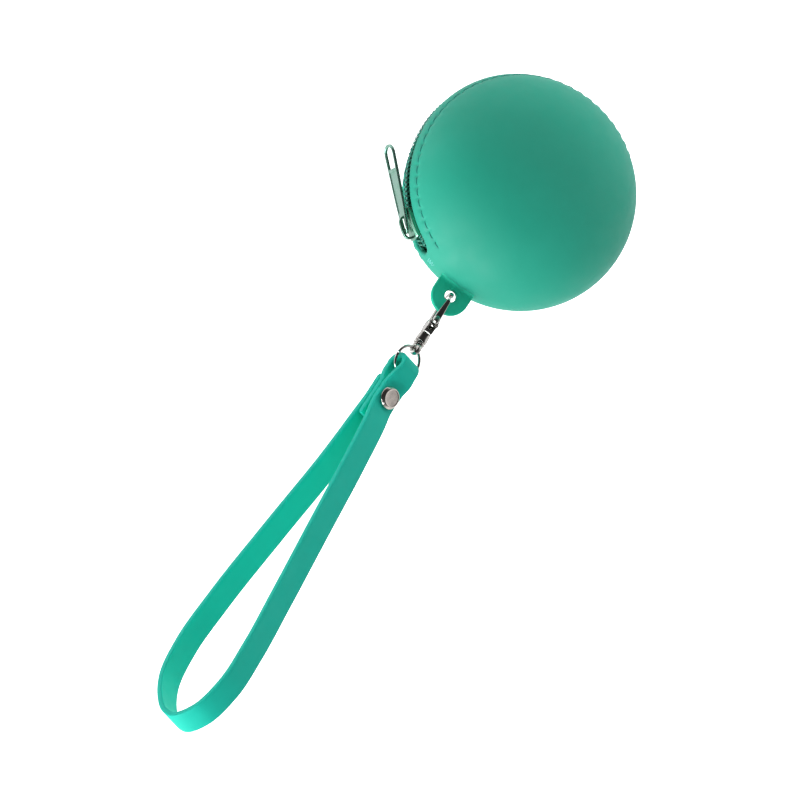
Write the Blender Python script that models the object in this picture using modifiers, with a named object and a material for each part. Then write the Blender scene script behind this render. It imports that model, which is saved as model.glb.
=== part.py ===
"""Ball-shaped silicone coin purse with a zip slot, hung from a folded silicone wrist strap.

The purse hangs straight down. +Z points up the wrist strap, and the origin is the inside top of the
strap's loop, where a wrist or a peg holds it. The zip lies in the XZ plane, and -Y is the front.
All lengths are metres.
"""
import math

import bmesh
import bpy
from mathutils import Matrix, Vector

# Moulded shell: a ball that is a little flatter through its front and back
BALL_Z = -0.2205
BALL_RADIUS = 0.0400
BALL_HALF_DEPTH = 0.0330
WALL = 0.0022

# Zip slot in the shell's rim, as angles from straight up towards +X
SLOT_START = math.radians(22.0)
SLOT_END = math.radians(217.0)
SLOT_HALF_WIDTH = 0.00445

# Moulded tab that the hook goes through
TAB_HOLE_Z = BALL_Z + 0.0440
TAB_HOLE_RADIUS = 0.00205
TAB_HALF_WIDTH = 0.0066
TAB_THICKNESS = 0.0020

# Zip tape and coil, as distances from the ball's centre and from the zip's middle line
TAPE_TOP = 0.0371
TAPE_THICKNESS = 0.0006
TAPE_INNER_EDGE = 0.0008
TAPE_OUTER_EDGE = 0.0120
TAPE_OVERRUN = math.radians(6.0)
COIL_BASE = 0.03745
COIL_TOP = 0.03925
COIL_OUTER_EDGE = 0.0021
COIL_MIDDLE_GAP = 0.0002
COIL_TOOTH = 0.0005
COIL_PITCH = 0.00157
COIL_SPREAD = 0.0010
COIL_CROWN = COIL_TOP - 0.0004

# Slider, parked where the photograph shows it
SLIDER_ANGLE = math.radians(38.0)
SLIDER_LENGTH = 0.0109
SLIDER_HALF_WIDTH = 0.00395
SLIDER_TOP = 0.04075
SLIDER_BOTTOM = 0.03495
SLIDER_REACH = 0.0080
BLOCK_FOOT = 0.0300
CHANNEL_LOW = 0.03615
CHANNEL_HIGH = 0.03955
CHANNEL_HALF_WIDTH = 0.0034
BAIL_THICKNESS = 0.0016
PULL_LENGTH = 0.0312
PULL_HALF_WIDTH = 0.0035
PULL_THICKNESS = 0.0010
PULL_LEAN = math.radians(5.3)
PULL_PIVOT_ALONG = -0.0024
PULL_PIVOT_RADIUS = 0.0421

# Snap hook, from its bow in the tab to its swivel
HOOK_CENTRE_Z = BALL_Z + 0.0502
HOOK_HALF_WIDTH = 0.0037
HOOK_HALF_HEIGHT = 0.0066
HOOK_SQUARENESS = 2.6
HEAD_THICKNESS = 0.0030
GATE_THICKNESS = 0.0012
GATE_SLOT = 0.0018
GATE_PIVOT = (-0.0030, BALL_Z + 0.0563)
PIN_RADIUS = 0.00045
BARREL_RADIUS = 0.0021

# Wire ring between the swivel and the strap
RING_Z = BALL_Z + 0.0713
RING_RADIUS = 0.0052
RING_WIRE = 0.00055

# Wrist strap, turned about Z from the zip's plane
STRAP_YAW = math.radians(-30.4)
STRAP_HALF_WIDTH = 0.00455
STRAP_WAIST = 0.0040
STRAP_THICKNESS = 0.0019
FOLD_RADIUS = 0.0032
FOLD_Z = RING_Z - 0.0010 + FOLD_RADIUS + STRAP_THICKNESS / 2
RIVET_Z = BALL_Z + 0.0862
LAYER_STEP = STRAP_THICKNESS + 0.0003
FRONT_LAYER = 0.0016
RIVET_HOLE = 0.0017

SILICONE = (0.026, 0.352, 0.240)
ZIP_GREEN = (0.010, 0.185, 0.115)
NICKEL = (0.62, 0.60, 0.58)

for old in list(bpy.data.objects):
    bpy.data.objects.remove(old, do_unlink=True)

PARTS = bpy.data.collections.new("zippered_coin_purse")
CUTTERS = bpy.data.collections.new("cutters")
bpy.context.scene.collection.children.link(PARTS)
bpy.context.scene.collection.children.link(CUTTERS)

BALL_CENTRE = Matrix.Translation((0.0, 0.0, BALL_Z))
SLIDER_FRAME = BALL_CENTRE @ Matrix.Rotation(SLIDER_ANGLE, 4, "Y")
STRAP_FRAME = Matrix.Rotation(STRAP_YAW, 4, "Z")


def frame_from(x_axis, y_axis, z_axis, place=(0.0, 0.0, 0.0)):
    """A matrix whose columns are three axes and a place."""
    columns = (*x_axis, 0.0), (*y_axis, 0.0), (*z_axis, 0.0), (*place, 1.0)
    return Matrix(columns).transposed()


# Drawn sideways: local x is +Y, local y is +Z and the thickness runs along +X
HOOK_FRAME = frame_from((0, 1, 0), (0, 0, 1), (1, 0, 0))
# Drawn from the front: local x is +X, local y is +Z and the thickness runs along -Y
FRONT_FRAME = frame_from((1, 0, 0), (0, 0, 1), (0, -1, 0))
# The strap's front: local x runs across it, local y is +Z and local z points out of its front
RIVET_FRAME = STRAP_FRAME @ FRONT_FRAME


def finish_material(name, colour, roughness, metallic=0.0):
    """One Principled material."""
    made = bpy.data.materials.new(name)
    made.use_nodes = True
    shader = made.node_tree.nodes["Principled BSDF"]
    shader.inputs["Base Color"].default_value = (*colour, 1.0)
    shader.inputs["Roughness"].default_value = roughness
    shader.inputs["Metallic"].default_value = metallic
    return made


def add_part(name, data, colour, roughness, metallic=0.0, matrix=None):
    """Link a mesh or a curve as a named part with its own material."""
    part = bpy.data.objects.new(name, data)
    if matrix is not None:
        part.matrix_world = matrix
    PARTS.objects.link(part)
    data.materials.append(finish_material(name, colour, roughness, metallic))
    return part


def add_cutter(name, data, matrix=None):
    """Link a shape that only cuts or joins another."""
    cutter = bpy.data.objects.new(name, data)
    if matrix is not None:
        cutter.matrix_world = matrix
    cutter.hide_render = True
    cutter.display_type = "WIRE"
    CUTTERS.objects.link(cutter)
    return cutter


def combine(part, other, operation="DIFFERENCE"):
    """Cut, join or intersect a part with another shape."""
    step = part.modifiers.new(other.name, "BOOLEAN")
    step.operation = operation
    step.solver = "EXACT"
    step.object = other


def mesh_from(builder):
    """A mesh made by a function that fills a bmesh."""
    made = bmesh.new()
    builder(made)
    mesh = bpy.data.meshes.new("shape")
    made.to_mesh(mesh)
    made.free()
    return mesh


def curve_to_mesh(curve):
    """The evaluated mesh of a curve, with its caps welded on."""
    holder = bpy.data.objects.new("curve", curve)
    bpy.context.scene.collection.objects.link(holder)
    graph = bpy.context.evaluated_depsgraph_get()
    mesh = bpy.data.meshes.new_from_object(holder.evaluated_get(graph))
    bpy.data.objects.remove(holder, do_unlink=True)
    welded = bmesh.new()
    welded.from_mesh(mesh)
    bmesh.ops.remove_doubles(welded, verts=welded.verts, dist=0.00001)
    bmesh.ops.recalc_face_normals(welded, faces=welded.faces)
    welded.to_mesh(mesh)
    welded.free()
    mesh.materials.clear()
    return mesh


def plate(outline, thickness, edge=0.0):
    """A flat outline with its thickness centred on the local XY plane."""
    curve = bpy.data.curves.new("plate", "CURVE")
    curve.dimensions = "2D"
    curve.fill_mode = "BOTH"
    curve.extrude = thickness / 2 - edge
    curve.bevel_depth = edge
    curve.bevel_resolution = 0
    curve.offset = -edge
    spline = curve.splines.new("POLY")
    spline.points.add(len(outline) - 1)
    for point, (x, y) in zip(spline.points, outline):
        point.co = (x, y, 0.0, 1.0)
    spline.use_cyclic_u = True
    return curve_to_mesh(curve)


def tube(points, radius, sizes=None, sides_step=2):
    """A round bar along points, with an optional size factor at each one."""
    curve = bpy.data.curves.new("tube", "CURVE")
    curve.dimensions = "3D"
    curve.bevel_depth = radius
    curve.bevel_resolution = sides_step
    curve.use_fill_caps = True
    spline = curve.splines.new("POLY")
    spline.points.add(len(points) - 1)
    for index, place in enumerate(points):
        spline.points[index].co = (*place, 1.0)
        spline.points[index].radius = sizes[index] if sizes else 1.0
    return curve_to_mesh(curve)


def turned(profile):
    """A mesh with the profile edge of a turned piece, for a Screw modifier about local Z."""
    def build(made):
        points = [made.verts.new((radius, 0.0, height)) for radius, height in profile]
        for first, second in zip(points, points[1:]):
            made.edges.new((first, second))
    return mesh_from(build)


def add_screw(part, steps, angle=2 * math.pi, axis="Z"):
    """Turn the part's profile about an axis."""
    screw = part.modifiers.new("turn", "SCREW")
    screw.axis = axis
    screw.angle = angle
    screw.steps = steps
    screw.render_steps = steps
    screw.merge_threshold = 0.00001
    screw.use_merge_vertices = True
    screw.use_normal_calculate = False
    screw.use_smooth_shade = True


def cylinder(radius, length, sides=20):
    """A capped cylinder along local Z."""
    return mesh_from(lambda made: bmesh.ops.create_cone(
        made, cap_ends=True, segments=sides, radius1=radius, radius2=radius, depth=length))


def box(size):
    """A box of the given sides about its centre."""
    def build(made):
        bmesh.ops.create_cube(made, size=1.0)
        bmesh.ops.scale(made, vec=size, verts=made.verts)
    return mesh_from(build)


def ball(radius, half_depth, around, along):
    """A round ball of unequal depth whose poles lie on Y."""
    def build(made):
        bmesh.ops.create_uvsphere(made, u_segments=around, v_segments=along, radius=1.0)
        bmesh.ops.scale(made, vec=(radius, radius, half_depth), verts=made.verts)
        bmesh.ops.rotate(made, matrix=Matrix.Rotation(math.radians(90), 3, "X"), verts=made.verts)
    return mesh_from(build)


def loft(sections):
    """A closed bar through rings of points, capped at both ends."""
    def build(made):
        rings = [[made.verts.new(place) for place in ring] for ring in sections]
        size = len(rings[0])
        for first, second in zip(rings, rings[1:]):
            for side in range(size):
                following = (side + 1) % size
                made.faces.new((first[side], first[following], second[following], second[side]))
        made.faces.new(list(reversed(rings[0])))
        made.faces.new(rings[-1])
        bmesh.ops.recalc_face_normals(made, faces=made.faces)
    return mesh_from(build)


def smooth(part, angle=35.0):
    """Smooth shading with the hard edges kept."""
    part.data.shade_smooth()
    part.data.set_sharp_from_angle(angle=math.radians(angle))


def rim_point(radius, angle, y=0.0):
    """A point at an angle round the ball's rim, in the ball's own frame."""
    return Vector((radius * math.sin(angle), y, radius * math.cos(angle)))


def arc_points(centre, radius, first, last, count):
    """Points on an arc in a drawing plane, with its angles in degrees."""
    angles = [math.radians(first + (last - first) * step / (count - 1)) for step in range(count)]
    return [(centre[0] + radius * math.cos(a), centre[1] + radius * math.sin(a)) for a in angles]


def shell_inside(y):
    """The distance of the shell's inner face from the Y axis at a depth y."""
    return (BALL_RADIUS - WALL) * math.sqrt(1 - (y / (BALL_HALF_DEPTH - WALL)) ** 2)


def make_shell():
    """The one-piece moulded ball with its tab, its pocket and its zip slot."""
    shell = add_part("silicone_shell", ball(BALL_RADIUS, BALL_HALF_DEPTH, 48, 22),
                     SILICONE, 0.55, matrix=BALL_CENTRE)
    root = BALL_Z + BALL_RADIUS - 0.0017
    outline = arc_points((0.0, TAB_HOLE_Z), TAB_HALF_WIDTH, 0.0, 180.0, 17)
    outline += [(-TAB_HALF_WIDTH, root), (TAB_HALF_WIDTH, root)]
    combine(shell, add_cutter("tab_shape", plate(outline, TAB_THICKNESS, 0.0003), FRONT_FRAME), "UNION")
    inside = ball(BALL_RADIUS - WALL, BALL_HALF_DEPTH - WALL, 44, 20)
    combine(shell, add_cutter("pocket", inside, BALL_CENTRE))
    hole = FRONT_FRAME @ Matrix.Translation((0.0, TAB_HOLE_Z, 0.0))
    combine(shell, add_cutter("tab_hole", cylinder(TAB_HOLE_RADIUS, 0.010), hole))
    middle = BALL_RADIUS - WALL / 2
    points = []
    sizes = []
    for step in range(1, 6):
        bend = math.radians(18.0 * step)
        inset = SLOT_HALF_WIDTH * (1 - math.cos(bend)) / middle
        points.append(rim_point(middle, SLOT_START + inset))
        sizes.append(math.sin(bend))
    length = SLOT_END - SLOT_START
    tip = SLOT_HALF_WIDTH / middle
    for step in range(1, 40):
        points.append(rim_point(middle, SLOT_START + tip + (length - 2 * tip) * step / 40))
        sizes.append(1.0)
    for step in range(5, 0, -1):
        bend = math.radians(18.0 * step)
        inset = SLOT_HALF_WIDTH * (1 - math.cos(bend)) / middle
        points.append(rim_point(middle, SLOT_END - inset))
        sizes.append(math.sin(bend))
    slot = tube(points, SLOT_HALF_WIDTH, sizes, sides_step=3)
    combine(shell, add_cutter("zip_slot", slot, BALL_CENTRE))
    smooth(shell)


def make_tape(name, side):
    """One woven tape, sewn flat against the inside of the shell beside the slot."""
    depths = [TAPE_INNER_EDGE, 0.0046, 0.0070, 0.0095, TAPE_OUTER_EDGE]
    start = SLOT_START - TAPE_OVERRUN
    span = SLOT_END - SLOT_START + 2 * TAPE_OVERRUN

    def build(made):
        row = []
        for depth in depths:
            top = min(TAPE_TOP, shell_inside(depth) - 0.00035)
            row.append(made.verts.new(rim_point(top - TAPE_THICKNESS / 2, start, side * depth)))
        for first, second in zip(row, row[1:]):
            made.edges.new((first, second))
    tape = add_part(name, mesh_from(build), ZIP_GREEN, 0.8, matrix=BALL_CENTRE)
    add_screw(tape, 34, angle=span, axis="Y")
    wall = tape.modifiers.new("cloth", "SOLIDIFY")
    wall.thickness = TAPE_THICKNESS
    wall.offset = 0.0


def make_coil(name, side):
    """One side of the coil, its teeth reaching between those of the other side."""
    room = SLOT_HALF_WIDTH * 0.42 / BALL_RADIUS
    start = SLOT_START + room
    span = SLOT_END - SLOT_START - 2 * room
    steps = 2 * round(span * COIL_TOP / COIL_PITCH)
    mouth = SLIDER_ANGLE - math.radians(3.0)
    sections = []
    for step in range(steps + 1):
        angle = start + span * step / steps
        parting = min(1.0, max(0.0, (mouth - angle) / math.radians(5.0) + 0.4))
        parting = COIL_SPREAD * parting * parting * (3 - 2 * parting)
        zigzag = COIL_TOOTH * (1 if step % 2 else -1)
        inner = side * (COIL_MIDDLE_GAP + parting) + zigzag
        outer = side * (COIL_OUTER_EDGE + parting)
        sections.append([rim_point(COIL_BASE, angle, inner), rim_point(COIL_CROWN, angle, inner),
                         rim_point(COIL_TOP, angle, (inner + outer) / 2),
                         rim_point(COIL_BASE, angle, outer)])
    add_part(name, loft(sections), ZIP_GREEN, 0.45, matrix=BALL_CENTRE)


def make_slider():
    """The slider: curved plates above and below the zip, a wedge between them and a bail on top."""
    half = SLIDER_LENGTH / 2
    wide = SLIDER_HALF_WIDTH
    outline = [(-half, -wide + 0.0008), (-half, wide - 0.0008), (-half + 0.0008, wide),
               (0.0010, wide), (half - 0.0012, wide - 0.0005), (half, wide - 0.0018),
               (half, -wide + 0.0018), (half - 0.0012, -wide + 0.0005), (0.0010, -wide),
               (-half + 0.0008, -wide)]
    block = plate(outline, SLIDER_TOP - BLOCK_FOOT)
    block.transform(Matrix.Translation((0.0, 0.0, (SLIDER_TOP + BLOCK_FOOT) / 2 + 0.0005)))
    slider = add_part("slider_body", block, ZIP_GREEN, 0.35, matrix=SLIDER_FRAME)
    bands = [
        ("slider_skin", [(SLIDER_BOTTOM, -SLIDER_REACH), (SLIDER_TOP, -SLIDER_REACH),
                         (SLIDER_TOP, SLIDER_REACH), (SLIDER_BOTTOM, SLIDER_REACH)], "INTERSECT"),
        ("slider_channel", [(CHANNEL_LOW, -SLIDER_REACH), (COIL_BASE, -SLIDER_REACH),
                            (COIL_BASE, -CHANNEL_HALF_WIDTH), (CHANNEL_HIGH, -CHANNEL_HALF_WIDTH),
                            (CHANNEL_HIGH, CHANNEL_HALF_WIDTH), (COIL_BASE, CHANNEL_HALF_WIDTH),
                            (COIL_BASE, SLIDER_REACH), (CHANNEL_LOW, SLIDER_REACH)], "DIFFERENCE"),
    ]
    for name, section, operation in bands:
        rings = []
        for step in range(9):
            angle = SLIDER_ANGLE + math.radians(-14.0 + 28.0 * step / 8)
            rings.append([rim_point(radius, angle, y) for radius, y in section])
        combine(slider, add_cutter(name, loft(rings), BALL_CENTRE), operation)
    wedge_outline = [(-half + 0.0006, 0.0), (-half + 0.0022, -0.00045), (-half + 0.0032, 0.0),
                     (-half + 0.0022, 0.00045)]
    wedge = plate(wedge_outline, 0.0042)
    place = SLIDER_FRAME @ Matrix.Translation((0.0, 0.0, 0.03785))
    combine(slider, add_cutter("slider_wedge", wedge, place), "UNION")
    foot = SLIDER_TOP - 0.0006
    outer = [(-0.0043, foot), (0.0026, foot), (0.0026, 0.0431), (0.0016, 0.0443),
             (-0.0033, 0.0443), (-0.0043, 0.0433)]
    bail_frame = SLIDER_FRAME @ frame_from((1, 0, 0), (0, 0, 1), (0, -1, 0))
    combine(slider, add_cutter("bail_shape", plate(outer, BAIL_THICKNESS, 0.0002), bail_frame), "UNION")
    tunnel = [(-0.0034, SLIDER_TOP + 0.0001), (0.0017, SLIDER_TOP + 0.0001), (0.0017, 0.0426),
              (0.0010, 0.0433), (-0.0027, 0.0433), (-0.0034, 0.0426)]
    combine(slider, add_cutter("bail_tunnel", plate(tunnel, 0.004), bail_frame))
    smooth(slider, 30)


def make_pull():
    """The long pull: an eye that rides in the bail, a rimmed panel and a window near its tip."""
    end = PULL_LENGTH - 0.0008
    wide = PULL_HALF_WIDTH
    narrow = 0.0026
    outline = arc_points((end - wide, 0.0), wide, -90.0, 90.0, 13)
    outline += [(0.0100, wide), (0.0060, narrow + 0.0003), (0.0006, narrow)]
    outline += [(-0.0006, narrow - 0.0008), (-0.0006, -narrow + 0.0008)]
    outline += [(0.0006, -narrow), (0.0060, -narrow - 0.0003), (0.0100, -wide)]
    pivot = SLIDER_FRAME @ Matrix.Translation((PULL_PIVOT_ALONG, 0.0, PULL_PIVOT_RADIUS))
    frame = pivot @ Matrix.Rotation(PULL_LEAN, 4, "Y")
    pull = add_part("pull_tab", plate(outline, PULL_THICKNESS, 0.0002), ZIP_GREEN, 0.35, matrix=frame)
    eye = [(0.0006, -0.0015), (0.0055, -0.0015), (0.0061, -0.0009), (0.0061, 0.0009),
           (0.0055, 0.0015), (0.0006, 0.0015)]
    combine(pull, add_cutter("pull_eye", plate(eye, 0.004), frame))
    window = arc_points((end - wide, 0.0), wide - 0.0011, -90.0, 90.0, 11)
    window += [(end - 0.0088, wide - 0.0011), (end - 0.0088, -wide + 0.0011)]
    combine(pull, add_cutter("pull_window", plate(window, 0.004), frame))
    panel = [(0.0112, -wide + 0.0010), (end - 0.0100, -wide + 0.0010),
             (end - 0.0100, wide - 0.0010), (0.0112, wide - 0.0010)]
    for side in (1, -1):
        place = frame @ Matrix.Translation((0.0, 0.0, side * PULL_THICKNESS / 2))
        combine(pull, add_cutter("pull_panel", plate(panel, 0.0005), place))


def bow_point(angle, offset=0.0):
    """A point of the hook's bow, a squared oval, at an angle in degrees from its lowest point."""
    power = 2 / HOOK_SQUARENESS
    sine = math.sin(math.radians(angle))
    cosine = math.cos(math.radians(angle))
    y = math.copysign(abs(sine) ** power, sine) * (HOOK_HALF_WIDTH + offset)
    z = HOOK_CENTRE_Z - math.copysign(abs(cosine) ** power, cosine) * (HOOK_HALF_HEIGHT + offset)
    return y, z


def make_hook():
    """The cast hook: a tapered bow, a head with a slot for the gate and a barrel for the swivel."""
    angles = [-42 + 190 * step / 24 for step in range(25)]
    sizes = [min(1.25, 0.75 + 0.50 * (angle + 42) / 110) for angle in angles]
    path = [(0.0, *bow_point(angle)) for angle in angles]
    body = add_part("snap_hook_body", tube(path, 0.001, sizes), NICKEL, 0.25, 1.0)
    rise = BALL_Z
    head = [(-0.0041, 0.0550), (-0.0024, 0.0549), (-0.0014, 0.0556), (0.0014, 0.0556),
            (0.0024, 0.0540), (0.0050, 0.0540), (0.0047, 0.0574), (0.0026, 0.0602),
            (-0.0026, 0.0602), (-0.0041, 0.0577)]
    outline = [(y, rise + z) for y, z in head]
    combine(body, add_cutter("hook_head", plate(outline, HEAD_THICKNESS, 0.0004), HOOK_FRAME), "UNION")
    barrel = cylinder(BARREL_RADIUS, 0.0036, 24)
    combine(body, add_cutter("hook_barrel", barrel, Matrix.Translation((0, 0, rise + 0.0614))), "UNION")
    slot = HOOK_FRAME @ Matrix.Translation((-0.0037, rise + 0.0558, 0.0))
    combine(body, add_cutter("gate_slot", box((0.0046, 0.0056, GATE_SLOT)), slot))
    hole = HOOK_FRAME @ Matrix.Translation((*GATE_PIVOT, 0.0))
    combine(body, add_cutter("pin_hole", cylinder(PIN_RADIUS + 0.00015, 0.008, 16), hole))
    neck = Matrix.Translation((0, 0, rise + 0.0628))
    combine(body, add_cutter("swivel_neck_bore", cylinder(0.00095, 0.0020), neck))
    seat = Matrix.Translation((0, 0, rise + 0.0614))
    combine(body, add_cutter("swivel_seat", cylinder(0.00145, 0.0012), seat))
    smooth(body, 30)


def make_gate():
    """The lever that closes the bow, with a thumb lug near its pivot."""
    pivot_y, pivot_z = GATE_PIVOT
    rise = BALL_Z
    outline = [(-0.0030, rise + 0.0463), (-0.0026, rise + 0.0500), (-0.0023, rise + 0.0543)]
    outline += arc_points((pivot_y, pivot_z), 0.0010, -20.0, 120.0, 8)
    outline += [(-0.0050, rise + 0.0575), (-0.0056, rise + 0.0566), (-0.0054, rise + 0.0556),
                (-0.0044, rise + 0.0545), (-0.0041, rise + 0.0500), (-0.0040, rise + 0.0462)]
    gate = add_part("snap_gate", plate(outline, GATE_THICKNESS, 0.00015), NICKEL, 0.3, 1.0)
    gate.data.transform(Matrix.Translation((-pivot_y, -pivot_z, 0.0)))
    gate.matrix_world = HOOK_FRAME @ Matrix.Translation((pivot_y, pivot_z, 0.0))
    hole = cylinder(PIN_RADIUS + 0.00012, 0.006, 16)
    combine(gate, add_cutter("gate_bore", hole, gate.matrix_world.copy()))


def make_gate_pin():
    """The riveted pin that the gate turns on."""
    head = 0.00075
    reach = HEAD_THICKNESS / 2 + 0.0001
    out = reach + 0.0003
    profile = [(0.0, out), (head * 0.7, out), (head, reach + 0.0001), (head, reach),
               (PIN_RADIUS, reach), (PIN_RADIUS, -reach), (head, -reach), (head, -reach - 0.0001),
               (head * 0.7, -out), (0.0, -out)]
    place = HOOK_FRAME @ Matrix.Translation((*GATE_PIVOT, 0.0))
    add_screw(add_part("gate_pin", turned(profile), NICKEL, 0.3, 1.0, matrix=place), 14)


def make_gate_spring():
    """The small bent spring in the slot behind the gate."""
    route = [(-0.00165, 0.0583), (-0.00165, 0.0570), (-0.00160, 0.0558), (-0.00175, 0.0552),
             (-0.00205, 0.0547)]
    points = [(0.0, y, BALL_Z + z) for y, z in route]
    add_part("gate_spring", tube(points, 0.00014), NICKEL, 0.35, 1.0)


def make_swivel():
    """The swivel: a headed post caught in the barrel, a collar and an eye on the wire ring."""
    rise = BALL_Z
    profile = [(0.0, rise + 0.0646), (0.0010, rise + 0.0646), (0.0016, rise + 0.0643),
               (0.0016, rise + 0.0636), (0.00065, rise + 0.0635), (0.00065, rise + 0.0617),
               (0.0012, rise + 0.0617), (0.0012, rise + 0.0610), (0.0, rise + 0.0610)]
    swivel = add_part("swivel_eye", turned(profile), NICKEL, 0.25, 1.0)
    add_screw(swivel, 20)
    eye_z = RING_Z - RING_RADIUS
    across = frame_from((0, 1, 0), (0, 0, 1), (1, 0, 0), (0.0, 0.0, eye_z))
    rim = arc_points((0.0, 0.0), 0.00225, 0.0, 345.0, 24)
    eye = add_cutter("swivel_ring", plate(rim, 0.0017, 0.0004), STRAP_FRAME @ across)
    combine(swivel, eye, "UNION")
    bore = add_cutter("swivel_bore", cylinder(0.0010, 0.006), STRAP_FRAME @ across)
    combine(swivel, bore)


def make_ring():
    """The open wire ring, with its cut at one side."""
    points = []
    for step in range(41):
        angle = math.radians(3.0 + 354.0 * step / 40)
        points.append((RING_RADIUS * math.cos(angle), 0.0, RING_Z + RING_RADIUS * math.sin(angle)))
    add_part("wire_ring", tube(points, RING_WIRE), NICKEL, 0.2, 1.0, matrix=STRAP_FRAME)


def curve_through(points, spacing):
    """Points at about a spacing on a smooth curve through given points, its slopes set by chord."""
    chords = [(second - first).length for first, second in zip(points, points[1:])]
    slopes = [(points[1] - points[0]) / chords[0]]
    for place in range(1, len(points) - 1):
        before, after = chords[place - 1], chords[place]
        rise = (points[place] - points[place - 1]) / before * after
        rise += (points[place + 1] - points[place]) / after * before
        slopes.append(rise / (before + after))
    slopes.append((points[-1] - points[-2]) / chords[-1])
    route = []
    for place, chord in enumerate(chords):
        count = max(1, round(chord / spacing))
        for step in range(count):
            t = step / count
            route.append(points[place] * (2 * t ** 3 - 3 * t ** 2 + 1)
                         + slopes[place] * chord * (t ** 3 - 2 * t ** 2 + t)
                         + points[place + 1] * (3 * t ** 2 - 2 * t ** 3)
                         + slopes[place + 1] * chord * (t ** 3 - t ** 2))
    route.append(points[-1])
    return route


def strap_route():
    """The strap's middle line as (out of the front, up), from its tucked end to its other end."""
    middle = FRONT_LAYER - LAYER_STEP
    back = FRONT_LAYER - 2 * LAYER_STEP
    route = [Vector((middle, RIVET_Z + 0.0098)), Vector((middle, RIVET_Z - 0.0040))]
    tucked = curve_through(route, 0.0030)[:-1]
    turn = []
    for step in range(13):
        angle = math.radians(180.0 + 180.0 * step / 12)
        turn.append(Vector((FOLD_RADIUS * math.cos(angle), FOLD_Z + FOLD_RADIUS * math.sin(angle))))
    join_back = [route[-1], Vector((-0.0022, FOLD_Z + 0.0040)), turn[0]]
    join_front = [turn[-1], Vector((0.0027, FOLD_Z + 0.0040)), Vector((FRONT_LAYER, RIVET_Z - 0.0040))]
    fold = curve_through(join_back, 0.0015)[:-1] + turn + curve_through(join_front, 0.0015)[1:-1]
    base = BALL_Z
    top = STRAP_THICKNESS / 2
    loop = [Vector((FRONT_LAYER, RIVET_Z - 0.0040)), Vector((FRONT_LAYER, RIVET_Z + 0.0040)),
            Vector((FRONT_LAYER + 0.0006, RIVET_Z + 0.0080)),
            Vector((0.0055, base + 0.1105)), Vector((0.0096, base + 0.1400)),
            Vector((0.0137, base + 0.1700)), Vector((0.0161, base + 0.1900)),
            Vector((0.0161, base + 0.2055)), Vector((0.0110, base + 0.2172)),
            Vector((0.0022, top)), Vector((-0.0065, base + 0.2166)),
            Vector((-0.0128, base + 0.2070)), Vector((-0.0156, base + 0.1930)),
            Vector((-0.0145, base + 0.1740)), Vector((-0.0099, base + 0.1430)),
            Vector((-0.0051, base + 0.1140)), Vector((back - 0.0004, RIVET_Z + 0.0080)),
            Vector((back, RIVET_Z + 0.0040)), Vector((back, RIVET_Z - 0.0060))]
    return tucked + fold + curve_through(loop, 0.0045)


def make_strap():
    """The flat silicone band, folded round the ring and joined to itself under the rivet."""
    def build(made):
        rows = []
        for out, up in strap_route():
            near_fold = min(1.0, max(0.0, (up - RING_Z - 0.0030) / 0.0050))
            half = STRAP_WAIST + (STRAP_HALF_WIDTH - STRAP_WAIST) * near_fold
            rows.append([made.verts.new((side * half, -out, up)) for side in (-1, 1)])
        for first, second in zip(rows, rows[1:]):
            made.faces.new((first[0], first[1], second[1], second[0]))
    strap = add_part("wrist_strap", mesh_from(build), SILICONE, 0.55, matrix=STRAP_FRAME)
    wall = strap.modifiers.new("thickness", "SOLIDIFY")
    wall.thickness = STRAP_THICKNESS
    wall.offset = 0.0
    edge = strap.modifiers.new("soft_edge", "BEVEL")
    edge.width = 0.00035
    edge.segments = 1
    edge.limit_method = "ANGLE"
    edge.angle_limit = math.radians(60)
    hole = RIVET_FRAME @ Matrix.Translation((0.0, RIVET_Z, -0.0006))
    combine(strap, add_cutter("rivet_hole", cylinder(RIVET_HOLE, 0.0090, 16), hole))


def make_rivet():
    """The cap rivet: a front cap with a tube, and a back cap with the post that fills it."""
    front = FRONT_LAYER + STRAP_THICKNESS / 2 + 0.00025
    back = FRONT_LAYER - 2 * LAYER_STEP - STRAP_THICKNESS / 2 - 0.00025
    place = RIVET_FRAME @ Matrix.Translation((0.0, RIVET_Z, 0.0))
    cap = [(0.0, front + 0.0014), (0.0030, front + 0.0014), (0.0036, front + 0.0012),
           (0.0040, front + 0.0007), (0.0040, front), (0.00135, front), (0.00135, back + 0.0006),
           (0.00085, back + 0.0006), (0.00085, front - 0.0008), (0.0, front - 0.0008)]
    add_screw(add_part("rivet_cap", turned(cap), NICKEL, 0.3, 1.0, matrix=place), 28)
    post = [(0.0, front - 0.0011), (0.0005, front - 0.0011), (0.00055, back), (0.0037, back),
            (0.0037, back - 0.0005), (0.0032, back - 0.0010), (0.0, back - 0.0012)]
    add_screw(add_part("rivet_post", turned(post), NICKEL, 0.3, 1.0, matrix=place), 24)


make_shell()
make_tape("zipper_tape_front", -1)
make_tape("zipper_tape_back", 1)
make_coil("zipper_coil_front", -1)
make_coil("zipper_coil_back", 1)
make_slider()
make_pull()
make_hook()
make_gate()
make_gate_pin()
make_gate_spring()
make_swivel()
make_ring()
make_strap()
make_rivet()
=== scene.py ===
"""The looks of a ball-shaped silicone coin purse that hangs by a folded silicone wrist strap.

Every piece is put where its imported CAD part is. Lengths are metres. +Z points up the hanging strap, the
zip lies in the XZ plane and -Y is the front of the ball.
"""

import math

import bpy
import numpy as np
from mathutils import Matrix


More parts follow.
